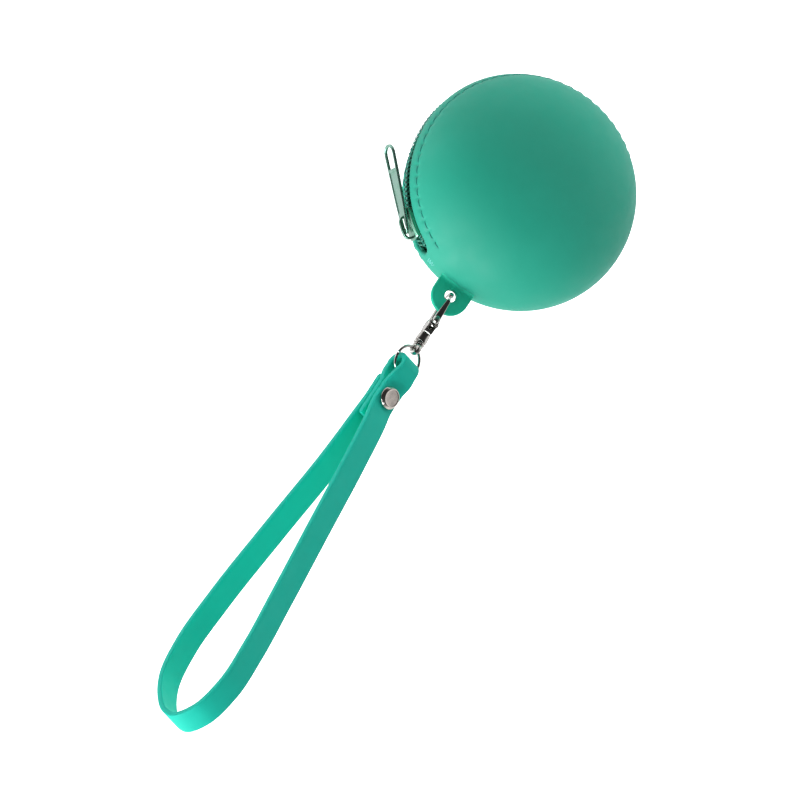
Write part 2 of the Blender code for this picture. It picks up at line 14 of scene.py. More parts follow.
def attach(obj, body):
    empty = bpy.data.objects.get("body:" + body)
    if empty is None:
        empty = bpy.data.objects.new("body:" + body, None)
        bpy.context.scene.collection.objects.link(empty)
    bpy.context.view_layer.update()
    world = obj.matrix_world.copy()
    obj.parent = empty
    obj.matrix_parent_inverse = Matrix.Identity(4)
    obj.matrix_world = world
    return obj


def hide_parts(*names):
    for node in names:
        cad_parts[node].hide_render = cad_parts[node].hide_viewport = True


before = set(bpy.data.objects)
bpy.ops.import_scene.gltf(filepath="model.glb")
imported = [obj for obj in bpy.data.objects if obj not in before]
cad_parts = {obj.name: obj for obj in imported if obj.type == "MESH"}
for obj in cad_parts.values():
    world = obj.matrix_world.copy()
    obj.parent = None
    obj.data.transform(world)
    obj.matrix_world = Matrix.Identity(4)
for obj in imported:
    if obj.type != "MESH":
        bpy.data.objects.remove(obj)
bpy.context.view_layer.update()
MM = 0.001

# Moulded ball. One soft silicone moulding, 2.2 mm thick, that is turned inside out off its core through
# the slot in its rim. The slot's lip is rounded, and the sewing beside it pulls the skin into small puffs.
BALL_Z = -220.5 * MM
BALL_RADIUS = 40.0 * MM
BALL_HALF_DEPTH = 33.0 * MM
WALL = 2.2 * MM
SLOT_START = math.radians(22.0)
SLOT_END = math.radians(217.0)
SLOT_HALF_WIDTH = 4.45 * MM
LIP = 1.15 * MM
RIM_DEPTH = 12.6 * MM
SEAM_OFFSET = 9.4 * MM
SEAM_GROOVE = 0.16 * MM
GROOVE_REACH = 0.75 * MM
SEAM_PULL = 0.42 * MM
NEEDLE_REACH = 1.35 * MM
STITCH_PITCH = 4.0 * MM
BACK_TURN = 2.0 * MM
BACK_TURN_REACH = 5.5 * MM
BALL_COLOUR = (0.012, 0.330, 0.220, 1.0)
BALL_BLOOM = (0.030, 0.400, 0.285, 1.0)
SILICONE_SHEEN = (0.55, 1.0, 0.90, 1.0)


def quad_faces(rows, columns, around=True, along=False):
    """Corner numbers of a grid's cells, wrapped from its last column or row to its first where asked."""
    row = np.arange(rows if along else rows - 1)[:, None]
    column = np.arange(columns if around else columns - 1)
    next_row = (row + 1) % rows
    next_column = (column + 1) % columns
    corners = np.broadcast_arrays(row * columns + column, row * columns + next_column,
                                  next_row * columns + next_column, next_row * columns + column)
    return np.stack(corners, axis=-1).reshape(-1, 4)


def mesh_object(name, *shapes, values=None):
    """One mesh of shapes that are each points and four-cornered cells.

    Points closer than a micron become one, and a cell that loses a corner becomes a triangle. The faces
    are turned outwards, by the sign of the volume that they enclose.
    """
    starts = np.cumsum([0] + [len(points) for points, cells in shapes])
    quads = np.concatenate([cells + start for (points, cells), start in zip(shapes, starts)])
    points = np.concatenate([points for points, cells in shapes])
    first, merged = np.unique(np.round(points / 1e-6).astype(np.int64), axis=0,
                              return_index=True, return_inverse=True)[1:]
    used, quads = np.unique(merged.reshape(-1)[quads], return_inverse=True)
    quads = quads.reshape(-1, 4)
    points = points[first][used]
    same = quads == np.roll(quads, -1, axis=1)
    full = quads[~same.any(axis=1)]
    short = same.sum(axis=1) == 1
    order = (same[short].argmax(axis=1)[:, None] + np.array([1, 2, 3])) % 4
    triangles = np.take_along_axis(quads[short], order, axis=1)
    triangles = triangles[triangles[:, 0] != triangles[:, 2]]
    corners = np.concatenate([full.reshape(-1), triangles.reshape(-1)])
    sizes = np.repeat([4, 3], [len(full), len(triangles)])
    halves = np.concatenate([full[:, [0, 1, 2]], full[:, [0, 2, 3]], triangles])
    a, b, c = points[halves.T]
    volume = (a * np.cross(b, c)).sum()
    mesh = bpy.data.meshes.new(name)
    mesh.vertices.add(len(points))
    mesh.loops.add(len(corners))
    mesh.polygons.add(len(sizes))
    mesh.vertices.foreach_set("co", points.astype(np.float32).reshape(-1))
    mesh.loops.foreach_set("vertex_index", corners.astype(np.int32))
    mesh.polygons.foreach_set("loop_start", (np.cumsum(sizes) - sizes).astype(np.int32))
    mesh.update(calc_edges=True)
    mesh.validate()
    if volume < 0:
        mesh.flip_normals()
    if values is not None:
        data = mesh.attributes.new("surface", "FLOAT_VECTOR", "POINT")
        values = values.reshape(-1, 3)[first][used]
        data.data.foreach_set("vector", values.astype(np.float32).reshape(-1))
    mesh.shade_smooth()
    mesh.set_sharp_from_angle(angle=math.radians(38))
    made = bpy.data.objects.new(name, mesh)
    bpy.context.scene.collection.objects.link(made)
    return made


def together(*parts):
    """Coordinates put side by side as points."""
    return np.stack(np.broadcast_arrays(*parts), axis=-1)


def rim_place(angle, radius, y):
    """Points at an angle round the ball from straight up towards +X, at a radius in XZ and a depth y."""
    return together(radius * np.sin(angle), y, BALL_Z + radius * np.cos(angle))


def ease(share):
    """A share from nothing to one with a soft start and end: three of its squares less two of its cubes."""
    return share * share * (3 - 2 * share)


def sewn_part(angle, past, ramp):
    """One along the slot and zero away from it, with a ramp at each end that starts some degrees past it."""
    start = angle - SLOT_START + math.radians(past)
    end = SLOT_END + math.radians(past) - angle
    return np.clip(np.minimum(start, end) / math.radians(ramp), 0.0, 1.0)


def seam_pull(angle, depth):
    """How far the sewing pulls the skin in: a shallow groove, and a deeper dimple at each needle hole."""
    phase = 2 * np.pi * (angle - SLOT_START) * BALL_RADIUS / STITCH_PITCH
    hole = (0.5 - 0.5 * np.cos(phase)) ** 3
    off = np.abs(depth) - SEAM_OFFSET
    groove = SEAM_GROOVE * np.exp(-(off / GROOVE_REACH) ** 2)
    dimple = SEAM_PULL * hole * np.exp(-(off / NEEDLE_REACH) ** 2)
    return sewn_part(angle, past=2.5, ramp=2.0) * (groove + dimple)


def turn_back(points):
    """Points round the rim moved towards its axis where the back lip is turned in.

    The turn is full at the lip and dies away behind it by a bell curve.
    """
    x, y, z = points[..., 0], points[..., 1], points[..., 2] - BALL_Z
    past_lip = y - SLOT_HALF_WIDTH
    inward = np.clip(past_lip / (0.6 * MM) + 0.85, 0.0, 1.0)
    bell = np.exp(-(np.maximum(past_lip, 0.0) / BACK_TURN_REACH) ** 2)
    window = ease(sewn_part(np.arctan2(x, z) % (2 * np.pi), past=-4.2, ramp=14.0))
    shrink = 1.0 - BACK_TURN * window * inward * bell / np.maximum(np.hypot(x, z), MM)
    return together(x * shrink, y, BALL_Z + z * shrink)


def skin_radius(depth, inner=False):
    """Radius of the ball's outer or inner face at a depth, from the ellipse of its section."""
    thin = WALL if inner else 0.0
    ratio = np.clip(np.abs(depth) / (BALL_HALF_DEPTH - thin), 0.0, 1.0)
    return (BALL_RADIUS - thin) * np.sqrt(1.0 - ratio ** 2)


def make_ball():
    """The shell as columns round the rim and rows from one pole, over the lip, to the inside's pole.

    Inside the slot's reach a column ends on the slot's rounded outline, and its row of lip points is a
    half ellipse from the outer face to the inner one. Elsewhere it ends on the middle plane, where the
    front and back halves meet and are welded.
    """
    tip = SLOT_HALF_WIDTH / BALL_RADIUS
    bend = np.radians(np.linspace(0.0, 90.0, 11))
    straight = np.linspace(SLOT_START + tip, SLOT_END - tip, 265)[1:-1]
    base = np.concatenate([np.full(11, SLOT_START + tip), straight, np.full(11, SLOT_END - tip)])
    lean = np.concatenate([-np.cos(bend), np.zeros(len(straight)), np.cos(bend[::-1])])
    rise = np.concatenate([np.sin(bend), np.ones(len(straight)), np.sin(bend[::-1])])

    def slot_outline(offset):
        reach = SLOT_HALF_WIDTH + offset
        return base + lean * reach / BALL_RADIUS, rise * reach

    outer_angle, outer_depth = slot_outline(LIP)
    plain = np.linspace(outer_angle[-1], outer_angle[0] + 2 * np.pi, 74)[1:-1]
    angle = np.concatenate([outer_angle, plain])
    start = np.concatenate([outer_depth, np.zeros(len(plain))])
    near = start + (RIM_DEPTH - start) * np.linspace(0.0, 1.0, 26)[:, None]
    polar = np.linspace(math.acos(RIM_DEPTH / BALL_HALF_DEPTH), 0.0, 26)[1:, None]
    far = np.broadcast_to(BALL_HALF_DEPTH * np.cos(polar), (25, len(angle)))
    depth = np.concatenate([near, far])[::-1]
    outer = rim_place(angle, skin_radius(depth) - seam_pull(angle, depth), -depth)
    turn = np.radians(np.linspace(0.0, 180.0, 11))[1:-1, None]
    lip_angle, lip_depth = slot_outline(LIP * (1.0 - np.sin(turn)))
    out, inn = skin_radius(lip_depth), skin_radius(lip_depth, inner=True)
    lip = rim_place(lip_angle, (out + inn) / 2 + (out - inn) / 2 * np.cos(turn), -lip_depth)
    lip = np.concatenate([lip, np.repeat(lip[:, :1], len(plain), axis=1)], axis=1)
    inside_half = BALL_HALF_DEPTH - WALL
    inside_start = np.arccos(np.clip(start / inside_half, 0.0, 1.0))
    inside_depth = inside_half * np.cos(inside_start * np.linspace(1.0, 0.0, 22)[:, None])
    inner = rim_place(angle, skin_radius(inside_depth, inner=True), -inside_depth)
    grid = np.concatenate([outer, lip, inner])
    rows, columns = grid.shape[:2]
    keep = np.ones((rows - 1, columns), dtype=bool)
    keep[len(outer) - 1:len(outer) + len(lip), len(base) - 1:] = False
    cells = quad_faces(rows, columns)[keep.reshape(-1)]
    front = grid.reshape(-1, 3)
    back = turn_back(front * np.array([1.0, -1.0, 1.0]))
    return mesh_object("moulded_ball", (front, cells), (back, cells[:, ::-1]))


def feed(tree, node, values):
    """A node's inputs set to plain values, or linked where a value is another node's socket."""
    for label, value in values.items():
        if isinstance(value, bpy.types.NodeSocket):
            tree.links.new(value, node.inputs[label])
        else:
            node.inputs[label].default_value = value


def add_node(tree, kind, values={}, **settings):
    """A shader node of a kind, with its settings and its inputs."""
    node = tree.nodes.new("ShaderNode" + kind)
    for label, setting in settings.items():
        setattr(node, label, setting)
    feed(tree, node, values)
    return node


def noise(tree, vector, scale, detail=2.0, roughness=0.5):
    """A noise pattern at a number of features per metre."""
    return add_node(tree, "TexNoise", {"Vector": vector, "Scale": scale, "Detail": detail,
                                       "Roughness": roughness}).outputs["Fac"]


def remap(tree, value, low, high, to_low=0.0, to_high=1.0):
    """A value carried from one range to another and held inside it."""
    return add_node(tree, "MapRange", {"Value": value, "From Min": low, "From Max": high,
                                       "To Min": to_low, "To Max": to_high}).outputs["Result"]


def maths(tree, operation, first, second=0.0):
    """One arithmetic step between sockets or numbers."""
    return add_node(tree, "Math", {0: first, 1: second}, operation=operation).outputs[0]


def mix_colour(tree, factor, first, second):
    """A blend of two colours. The Mix node keeps its colour sockets at 6, 7 and 2."""
    return add_node(tree, "Mix", {0: factor, 6: first, 7: second}, data_type="RGBA").outputs[2]


def new_group(name, inputs):
    """An empty node group that puts out a colour, a roughness and a height, and its inputs' sockets."""
    tree = bpy.data.node_groups.new(name, "ShaderNodeTree")
    for label, value in {"Position": (0.0, 0.0, 0.0), **inputs}.items():
        kind = "Float" if isinstance(value, float) else {3: "Vector", 4: "Color"}[len(value)]
        socket = tree.interface.new_socket(label, in_out="INPUT", socket_type="NodeSocket" + kind)
        socket.default_value = value
    for label, kind in (("Colour", "Color"), ("Roughness", "Float"), ("Height", "Float")):
        tree.interface.new_socket(label, in_out="OUTPUT", socket_type="NodeSocket" + kind)
    return tree, tree.nodes.new("NodeGroupInput").outputs, tree.nodes.new("NodeGroupOutput")


def silicone_group():
    """Matt silicone: broad patches of pale bloom, a fine grain from the mould and a few dust specks."""
    tree, given, out = new_group("silicone_skin", {"Colour": BALL_COLOUR, "Bloom": BALL_BLOOM, "Amount": 0.5})
    place = given["Position"]
    broad = remap(tree, noise(tree, place, 34.0, 3.0), 0.35, 0.70)
    cloudy = maths(tree, "MULTIPLY", broad, given["Amount"])
    specks = remap(tree, noise(tree, place, 1500.0, 2.0, 0.6), 0.70, 0.78, 0.0, 0.35)
    bloom = maths(tree, "MAXIMUM", cloudy, specks)
    feed(tree, out, {"Colour": mix_colour(tree, bloom, given["Colour"], given["Bloom"]),
                     "Roughness": remap(tree, noise(tree, place, 160.0, 4.0), 0.3, 0.7, 0.50, 0.64),
                     "Height": noise(tree, place, 3800.0, 2.0, 0.6)})
    return tree


def new_material(name):
    """A material with one Principled shader."""
    made = bpy.data.materials.new(name)
    made.use_nodes = True
    return made


def give_finish(made, group, inputs, distance, strength, plain={}):
    """A finish's node group in a material, its height as a bump, and the shader's own plain values.

    The finish lies on Object coordinates, unless its inputs name another position.
    """
    tree = made.node_tree
    if "Position" not in inputs:
        inputs["Position"] = add_node(tree, "TexCoord").outputs["Object"]
    skin = add_node(tree, "Group", inputs, node_tree=group).outputs
    bump = add_node(tree, "Bump", {"Height": skin["Height"], "Distance": distance, "Strength": strength})
    feed(tree, tree.nodes["Principled BSDF"], {"Base Color": skin["Colour"], "Roughness": skin["Roughness"],
                                               "Normal": bump.outputs["Normal"], **plain})
    return made


SILICONE_SKIN = silicone_group()


def give_silicone(made, colour, bloom, amount, sheen=0.16, specular=0.28):
    """Silicone's skin on a material, under a soft sheen."""
    return give_finish(made, SILICONE_SKIN, {"Colour": colour, "Bloom": bloom, "Amount": amount},
                       0.04 * MM, 0.35, {"Sheen Weight": sheen, "Sheen Roughness": 0.40,
                                         "Sheen Tint": SILICONE_SHEEN, "Specular IOR Level": specular})


def dress(piece, material, body, node=None):
    """A piece's material, the body that it rides, and the CAD node that it stands for."""
    piece.data.materials.append(material)
    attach(piece, body)
    if node:
        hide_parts(node)


BALL_SILICONE = give_silicone(new_material("ball_silicone"), BALL_COLOUR, BALL_BLOOM, 0.22)
dress(make_ball(), BALL_SILICONE, "purse", "silicone_shell")

# Hanging tab. It is part of the ball's moulding: a flat arch of silicone on the rim with a round hole,
# its edges softened by the mould and its root flared into the ball's skin.
TAB_HOLE_Z = BALL_Z + 44.0 * MM
TAB_HOLE_RADIUS = 2.05 * MM
TAB_HALF_WIDTH = 6.6 * MM
TAB_HALF_THICKNESS = 1.0 * MM
TAB_EDGE = 0.4 * MM
TAB_ROOT = BALL_Z + 38.4 * MM
TAB_FLARE = 0.9 * MM
TAB_FLARE_HEIGHT = 0.45 * MM
# Painted light: the tab is given a brighter green than the ball's silicone that it is moulded with, standing
# in for light on its front.
TAB_LIT_COLOUR = (0.001, 0.470, 0.290, 1.0)
TAB_LIT_BLOOM = (0.006, 0.540, 0.350, 1.0)


def bars(grids, along=False):
    """Points and cells of one grid, or of many alike, wrapped round their sections."""
    rows, columns = grids.shape[-3:-1]
    batch = grids.reshape(-1, rows * columns, 3)
    shifts = (np.arange(len(batch)) * rows * columns)[:, None, None]
    cells = quad_faces(rows, columns, along=along) + shifts
    return batch.reshape(-1, 3), cells.reshape(-1, 4)


def quarter(edge, count):
    """A quarter circle from a side to a face: how far each point is in from the side, and below the face."""
    bend = np.radians(np.linspace(0.0, 90.0, count))
    return edge * (1 - np.cos(bend)), edge * (1 - np.sin(bend))


def make_tab():
    """The tab as a loop of section points carried round its hole.

    At each direction the outer edge is the nearest of the arch's circle, its straight sides and its
    root. The section runs over the front, round the outer edge, back behind and through the hole.
    """
    around = np.linspace(0.0, 2 * np.pi, 144, endpoint=False)[:, None]
    sine, cosine = np.sin(around), np.cos(around)
    sides = TAB_HALF_WIDTH / np.maximum(np.abs(cosine), 1e-6)
    root = (TAB_HOLE_Z - TAB_ROOT) / np.maximum(-sine, 1e-6)
    reach = np.where(sine >= 0, TAB_HALF_WIDTH, np.minimum(sides, root))
    inset, drop = quarter(TAB_EDGE, 6)
    flat = np.zeros(12)
    share = np.concatenate([np.zeros(6), np.linspace(0.0, 1.0, 14)[1:-1], np.ones(6)])
    shift = np.concatenate([inset - TAB_EDGE, flat, TAB_EDGE - inset[::-1]])
    lift = TAB_HALF_THICKNESS - np.concatenate([drop, flat, drop[::-1]])
    start = TAB_HOLE_RADIUS + TAB_EDGE
    distance = start + (reach - TAB_EDGE - start) * share + shift
    x = distance * cosine
    z = TAB_HOLE_Z + distance * sine
    height = np.hypot(x, z - BALL_Z) - BALL_RADIUS
    flare = TAB_FLARE * np.exp(-np.maximum(height, -0.3 * MM) / TAB_FLARE_HEIGHT)
    y = lift + flare * (lift / TAB_HALF_THICKNESS)
    grid = np.concatenate([together(x, -y, z), together(x, y, z)[:, ::-1]], axis=1)
    return mesh_object("hanging_tab", bars(grid, along=True))


TAB_SILICONE = give_silicone(new_material("tab_silicone"), TAB_LIT_COLOUR, TAB_LIT_BLOOM, 0.35)
dress(make_tab(), TAB_SILICONE, "purse")

# Zip tapes. Two narrow woven polyester tapes, sewn flat inside the slot's lips, that carry the coils.
# Past the slider their inner edges stand apart.
SLIDER_ANGLE = math.radians(38.0)
TAPE_MIDDLE = 36.8 * MM
TAPE_HALF_THICKNESS = 0.28 * MM
TAPE_INNER_EDGE = 0.85 * MM
TAPE_OUTER_EDGE = 11.8 * MM
TAPE_CLEARANCE = 0.65 * MM
TAPE_OVERRUN = math.radians(5.6)
COIL_SPREAD = 1.0 * MM
TAPE_COLOUR = (0.004, 0.155, 0.085, 1.0)
TAPE_LIGHT = (0.012, 0.270, 0.160, 1.0)


def parting(angle):
    """How far a side of the zip stands off its middle line: nothing behind the slider, and more past it."""
    mouth = SLIDER_ANGLE - math.radians(3.0)
    return COIL_SPREAD * ease(np.clip((mouth - angle) / math.radians(5.0) + 0.4, 0.0, 1.0))


def capped(grid):
    """A bar's grid with both ends drawn in to their middles."""
    middles = np.broadcast_to(grid.mean(axis=-2, keepdims=True), grid.shape)
    return np.concatenate([middles[..., :1, :, :], grid, middles[..., -1:, :, :]], axis=-3)


def make_tape(name, side):
    """A thin band: a closed section from its inner edge to its outer one, carried round the rim.

    It follows the ball's inner skin where that is lower than its own level. The attribute keeps the
    distance along and the distance across.
    """
    angle = np.linspace(SLOT_START - TAPE_OVERRUN, SLOT_END + TAPE_OVERRUN, 260)[:, None]
    across, flat = np.linspace(0.0, 1.0, 16), np.zeros(16)
    turn = np.radians(np.array([-60.0, -30.0, 0.0, 30.0, 60.0]))
    share = np.concatenate([across, np.ones(5), across[::-1], np.zeros(5)])
    lift = np.concatenate([flat + 1, np.sin(-turn), flat - 1, np.sin(turn)]) * TAPE_HALF_THICKNESS
    bulge = np.concatenate([flat, np.cos(turn), flat, -np.cos(turn)]) * TAPE_HALF_THICKNESS
    inner_edge = TAPE_INNER_EDGE + parting(angle)
    depth = inner_edge + (TAPE_OUTER_EDGE - inner_edge) * share + bulge
    level = np.minimum(TAPE_MIDDLE, skin_radius(depth, inner=True) - TAPE_CLEARANCE)
    band = turn_back(rim_place(angle, level + lift, side * depth))
    values = together(angle * TAPE_MIDDLE, depth, 0.0)
    values = np.concatenate([values[:1], values, values[-1:]])
    return mesh_object(name, bars(capped(band)), values=values)


def weave_group():
    """A plain weave: threads along and across cross over each other, with slubs in the yarn.

    Its height is a sine along the tape times a sine across it, and its colour darkens where the height is
    low, as painted shade between the crossings.
    """
    tree, given, out = new_group("woven_tape", {"Dark": TAPE_COLOUR, "Light": TAPE_LIGHT, "Period": 0.4 * MM})
    split = add_node(tree, "SeparateXYZ", {0: given["Position"]}).outputs
    turns = maths(tree, "DIVIDE", 2 * math.pi, given["Period"])
    warp, weft = (maths(tree, "SINE", maths(tree, "MULTIPLY", way, turns)) for way in (split[0], split[1]))
    height = remap(tree, maths(tree, "MULTIPLY", warp, weft), -1.0, 1.0)
    slub = noise(tree, given["Position"], 900.0, 3.0)
    # Painted shade: the colour follows the weave's height times the slubs, darker in its hollows.
    shade = remap(tree, maths(tree, "MULTIPLY", height, slub), 0.0, 0.55)
    feed(tree, out, {"Colour": mix_colour(tree, shade, given["Dark"], given["Light"]),
                     "Roughness": remap(tree, height, 0.0, 1.0, 0.9, 0.7), "Height": height})
    return tree


def surface_value(tree):
    """The piece's own position along and across its surface."""
    return add_node(tree, "Attribute", attribute_name="surface").outputs["Vector"]


TAPE_WEAVE = new_material("tape_weave")
give_finish(TAPE_WEAVE, weave_group(), {"Position": surface_value(TAPE_WEAVE.node_tree), "Dark": TAPE_COLOUR,
                                        "Light": TAPE_LIGHT, "Period": 0.42 * MM},
            0.08 * MM, 0.7, {"Sheen Weight": 0.2})
for half, side in (("front", -1), ("back", 1)):
    dress(make_tape("zip_tape_" + half, side), TAPE_WEAVE, "purse", "zipper_tape_" + half)

# Zip coils. Each is one nylon monofilament wound into flat loops, whose heads hook between the other
# side's. Two sewing threads a side run over the loops and hold them to the tape.
COIL_TURNS = 83
COIL_WIRE = 0.36 * MM
COIL_MIDDLE = 38.36 * MM
COIL_RISE = 0.53 * MM
COIL_REACH = 0.93 * MM
COIL_CENTRE = 0.80 * MM
COIL_ROOM = SLOT_HALF_WIDTH * 0.42 / BALL_RADIUS
COIL_THREAD = 0.11 * MM
COIL_THREAD_TOP = 39.16 * MM
COIL_THREAD_WAVE = 0.10 * MM
COIL_THREAD_OFFSETS = (0.98 * MM, 1.40 * MM)
COIL_COLOUR = (0.006, 0.125, 0.070, 1.0)
COIL_LIGHT = (0.050, 0.400, 0.270, 1.0)
THREAD_COLOUR = (0.008, 0.210, 0.165, 1.0)
THREAD_LIGHT = (0.024, 0.340, 0.270, 1.0)
ACROSS = np.array([0.0, 1.0, 0.0])


def unit(vectors):
    """Vectors cut to a length of one."""
    return vectors / np.maximum(np.linalg.norm(vectors, axis=-1, keepdims=True), 1e-12)


def carry(path, section, side, closed=False):
    """A closed section carried along a path of points.

    The section's first number runs along the side direction, squared to the path, and its second along
    the path's own direction crossed with it. The section may change from point to point.
    """
    if closed:
        heading = unit(np.roll(path, -1, axis=-2) - np.roll(path, 1, axis=-2))
    else:
        heading = unit(np.gradient(path, axis=-2))
    across = unit(side - heading * (side * heading).sum(axis=-1, keepdims=True))
    up = np.cross(heading, across)
    return path[..., None, :] + section[..., :1] * across[..., None, :] + section[..., 1:] * up[..., None, :]


def tube(path, section, side):
    """A bar of one section along a path, closed at both ends."""
    return bars(capped(carry(path, section, side)))


def round_section(radius, sides):
    """A circle of points."""
    angle = np.linspace(0.0, 2 * np.pi, sides, endpoint=False)
    return radius * together(np.cos(angle), np.sin(angle))


def coil_turns(steps):
    """Turns of the coil, at a number of steps each, and their angles round the rim."""
    turn = np.linspace(0.0, COIL_TURNS, COIL_TURNS * steps + 1)
    span = SLOT_END - SLOT_START - 2 * COIL_ROOM
    return turn, SLOT_START + COIL_ROOM + span * turn / COIL_TURNS


def make_coil(name, side):
    """A flattened helix round the rim: across and up are a cosine and a sine of the turn."""
    turn, angle = coil_turns(18)
    phase = 2 * np.pi * (turn + (0.25 if side > 0 else 0.75))
    depth = COIL_CENTRE + parting(angle) - COIL_REACH * np.cos(phase)
    path = rim_place(angle, COIL_MIDDLE + COIL_RISE * np.sin(phase), side * depth)
    travel = together(np.cos(angle), 0.0, -np.sin(angle))
    return mesh_object(name, tube(path, round_section(COIL_WIRE, 8), travel))


def make_coil_thread():
    """Two threads a side, each a tube that rises over every loop and dips between them, by a cosine."""
    turn, angle = coil_turns(8)
    paths = []
    for side, shift in ((-1, 0.0), (1, 0.5)):
        level = COIL_THREAD_TOP + COIL_THREAD_WAVE * np.cos(2 * np.pi * (turn + shift))
        for offset in COIL_THREAD_OFFSETS:
            paths.append(rim_place(angle, level, side * (offset + parting(angle))))
    return mesh_object("coil_sewing_thread", tube(np.array(paths), round_section(COIL_THREAD, 6), ACROSS))


def strand_group():
    """Nylon or thread: painted shade darkens it in the dips of its bump and painted light lifts its rises,
    with fine streaks and a little wear.
    """
    tree, given, out = new_group("strand", {"Dark": COIL_COLOUR, "Light": COIL_LIGHT, "Scale": 1200.0,
                                            "Gloss": 0.4})
    fine = noise(tree, given["Position"], given["Scale"], 3.0, 0.6)
    # Painted shade and highlight: the colour follows the same noise as the height, dark in the dips and light
    # on the rises.
    shade = remap(tree, fine, 0.35, 0.68)
    uneven = remap(tree, fine, 0.3, 0.7, -0.08, 0.08)
    feed(tree, out, {"Colour": mix_colour(tree, shade, given["Dark"], given["Light"]),
                     "Roughness": maths(tree, "ADD", uneven, given["Gloss"]), "Height": fine})
    return tree


STRAND = strand_group()


def strand_material(name, dark, light, scale, gloss, distance):
    """A strand's finish at its own scale."""
    return give_finish(new_material(name), STRAND, {"Dark": dark, "Light": light, "Scale": scale,
                                                    "Gloss": gloss}, distance, 0.6)


COIL_NYLON = strand_material("coil_nylon", COIL_COLOUR, COIL_LIGHT, 1100.0, 0.34, 0.03 * MM)
THREAD_POLYESTER = strand_material("sewing_thread", THREAD_COLOUR, THREAD_LIGHT, 2600.0, 0.62, 0.05 * MM)
for half, side in (("front", -1), ("back", 1)):
    dress(make_coil("zip_coil_" + half, side), COIL_NYLON, "purse", "zipper_coil_" + half)
dress(make_coil_thread(), THREAD_POLYESTER, "purse")

# Seam sewing. A lockstitch row of dark green polyester runs along each lip and holds the tape to the
# ball, and a short bar tack of paler thread across each end of the slot keeps it from tearing.
THREAD_RADIUS = 0.19 * MM
THREAD_LIFT = 0.10 * MM
STITCH_LENGTH = 3.0 * MM
STITCH_DIVE = 0.62 * MM
TACK_RADIUS = 0.16 * MM
TACK_START = 2.3 * MM
TACK_STEP = 0.46 * MM
TACK_SLANT = 0.16 * MM
TACK_HALF_LENGTH = 1.75 * MM
TACK_UNEVENNESS = 0.25 * MM
TACK_SHIFT = 0.10 * MM
TACK_LIFT = 0.04 * MM
TACK_DIVE = 0.34 * MM
# The tack's lighter colour makes painted highlight specks on its strokes.
TACK_COLOUR = (0.060, 0.420, 0.340, 1.0)
TACK_HIGHLIGHT = (0.160, 0.600, 0.520, 1.0)


def make_seams():
    """Every stitch is a short tube along the rim whose two ends dive into the needle holes."""
    count = int((SLOT_END - SLOT_START) * BALL_RADIUS / STITCH_PITCH) + 1
    centre = SLOT_START + np.arange(count)[:, None] * STITCH_PITCH / BALL_RADIUS
    step = np.linspace(-1.0, 1.0, 13)
    angle = centre + step * STITCH_LENGTH / 2 / BALL_RADIUS
    level = skin_radius(SEAM_OFFSET) - SEAM_GROOVE + THREAD_LIFT - STITCH_DIVE * np.abs(step) ** 5
    width = THREAD_RADIUS * (1.0 - 0.25 * np.abs(step) ** 6)
    paths = np.array([turn_back(rim_place(angle, level, side * SEAM_OFFSET)) for side in (-1.0, 1.0)])
    return mesh_object("seam_stitches", tube(paths, round_section(1.0, 8) * width[:, None, None], ACROSS))


def make_bar_tacks():
    """Close zigzag strokes across each end of the slot, uneven in length, that dive into the ball's skin."""
    step = np.linspace(-1.0, 1.0, 11)
    number = np.arange(6)[:, None]
    slant = np.where(number % 2, TACK_SLANT, -TACK_SLANT) / BALL_RADIUS
    half = TACK_HALF_LENGTH + TACK_UNEVENNESS * np.sin(2.4 * number)
    depth = step * half + TACK_SHIFT * np.sin(1.7 * number)
    level = skin_radius(depth) + TACK_LIFT - TACK_DIVE * np.abs(step) ** 6
    paths = []
    for end, way in ((SLOT_START, -1), (SLOT_END, 1)):
        middle = end + way * (TACK_START + TACK_STEP * number) / BALL_RADIUS
        paths.append(rim_place(middle + slant * step, level, depth))
    return mesh_object("slot_bar_tacks", tube(np.array(paths), round_section(TACK_RADIUS, 6),
                                              np.array([0.6, 0.0, 0.8])))


dress(make_seams(), THREAD_POLYESTER, "purse")
TACK_POLYESTER = strand_material("tack_thread", TACK_COLOUR, TACK_HIGHLIGHT, 2600.0, 0.62, 0.05 * MM)
dress(make_bar_tacks(), TACK_POLYESTER, "purse")

# Slider. A small zinc casting, sprayed pale green: a top plate with side walls, a bottom plate, a wedge
# that parts the coils, and a bail bridging the top for the pull.
SLIDER_HALF_LENGTH = 5.6 * MM
SLIDER_HALF_WIDTH = 3.95 * MM
SLIDER_SHOULDER_END = 0.6 * MM
SLIDER_TAPER = 1.25 * MM
SLIDER_END_BOW = 0.10
SLIDER_TOP = 40.75 * MM
SLIDER_BOTTOM = 34.95 * MM
CHANNEL_LOW = 36.15 * MM
CHANNEL_SHOULDER = 37.45 * MM
CHANNEL_HIGH = 39.6 * MM
CHANNEL_WALL = 0.84
PAINT_COLOUR = (0.200, 0.470, 0.340, 1.0)
PAINT_DARK = (0.090, 0.300, 0.200, 1.0)


def offset_section(section, inset):
    """A closed section moved inwards along its own normals."""
    heading = unit(np.roll(section, -1, axis=0) - np.roll(section, 1, axis=0))
    normal = together(-heading[:, 1], heading[:, 0])
    x, y = section.T
    area = (x * np.roll(y, -1) - y * np.roll(x, -1)).sum()
    return section + normal * inset * np.sign(area)


def soften(before, corner, after, radius, steps):
    """Corners cut by short parabolas that start a radius before each one, or less where a side is short."""
    room = 0.45 * np.minimum(np.linalg.norm(before - corner, axis=1), np.linalg.norm(after - corner, axis=1))
    cut = np.minimum(radius, room)[:, None]
    start = (corner + unit(before - corner) * cut)[:, None]
    end = (corner + unit(after - corner) * cut)[:, None]
    share = np.linspace(0.0, 1.0, steps + 1)[:, None]
    curve = start * (1 - share) ** 2 + corner[:, None] * 2 * share * (1 - share) + end * share ** 2
    return curve.reshape(-1, 2)


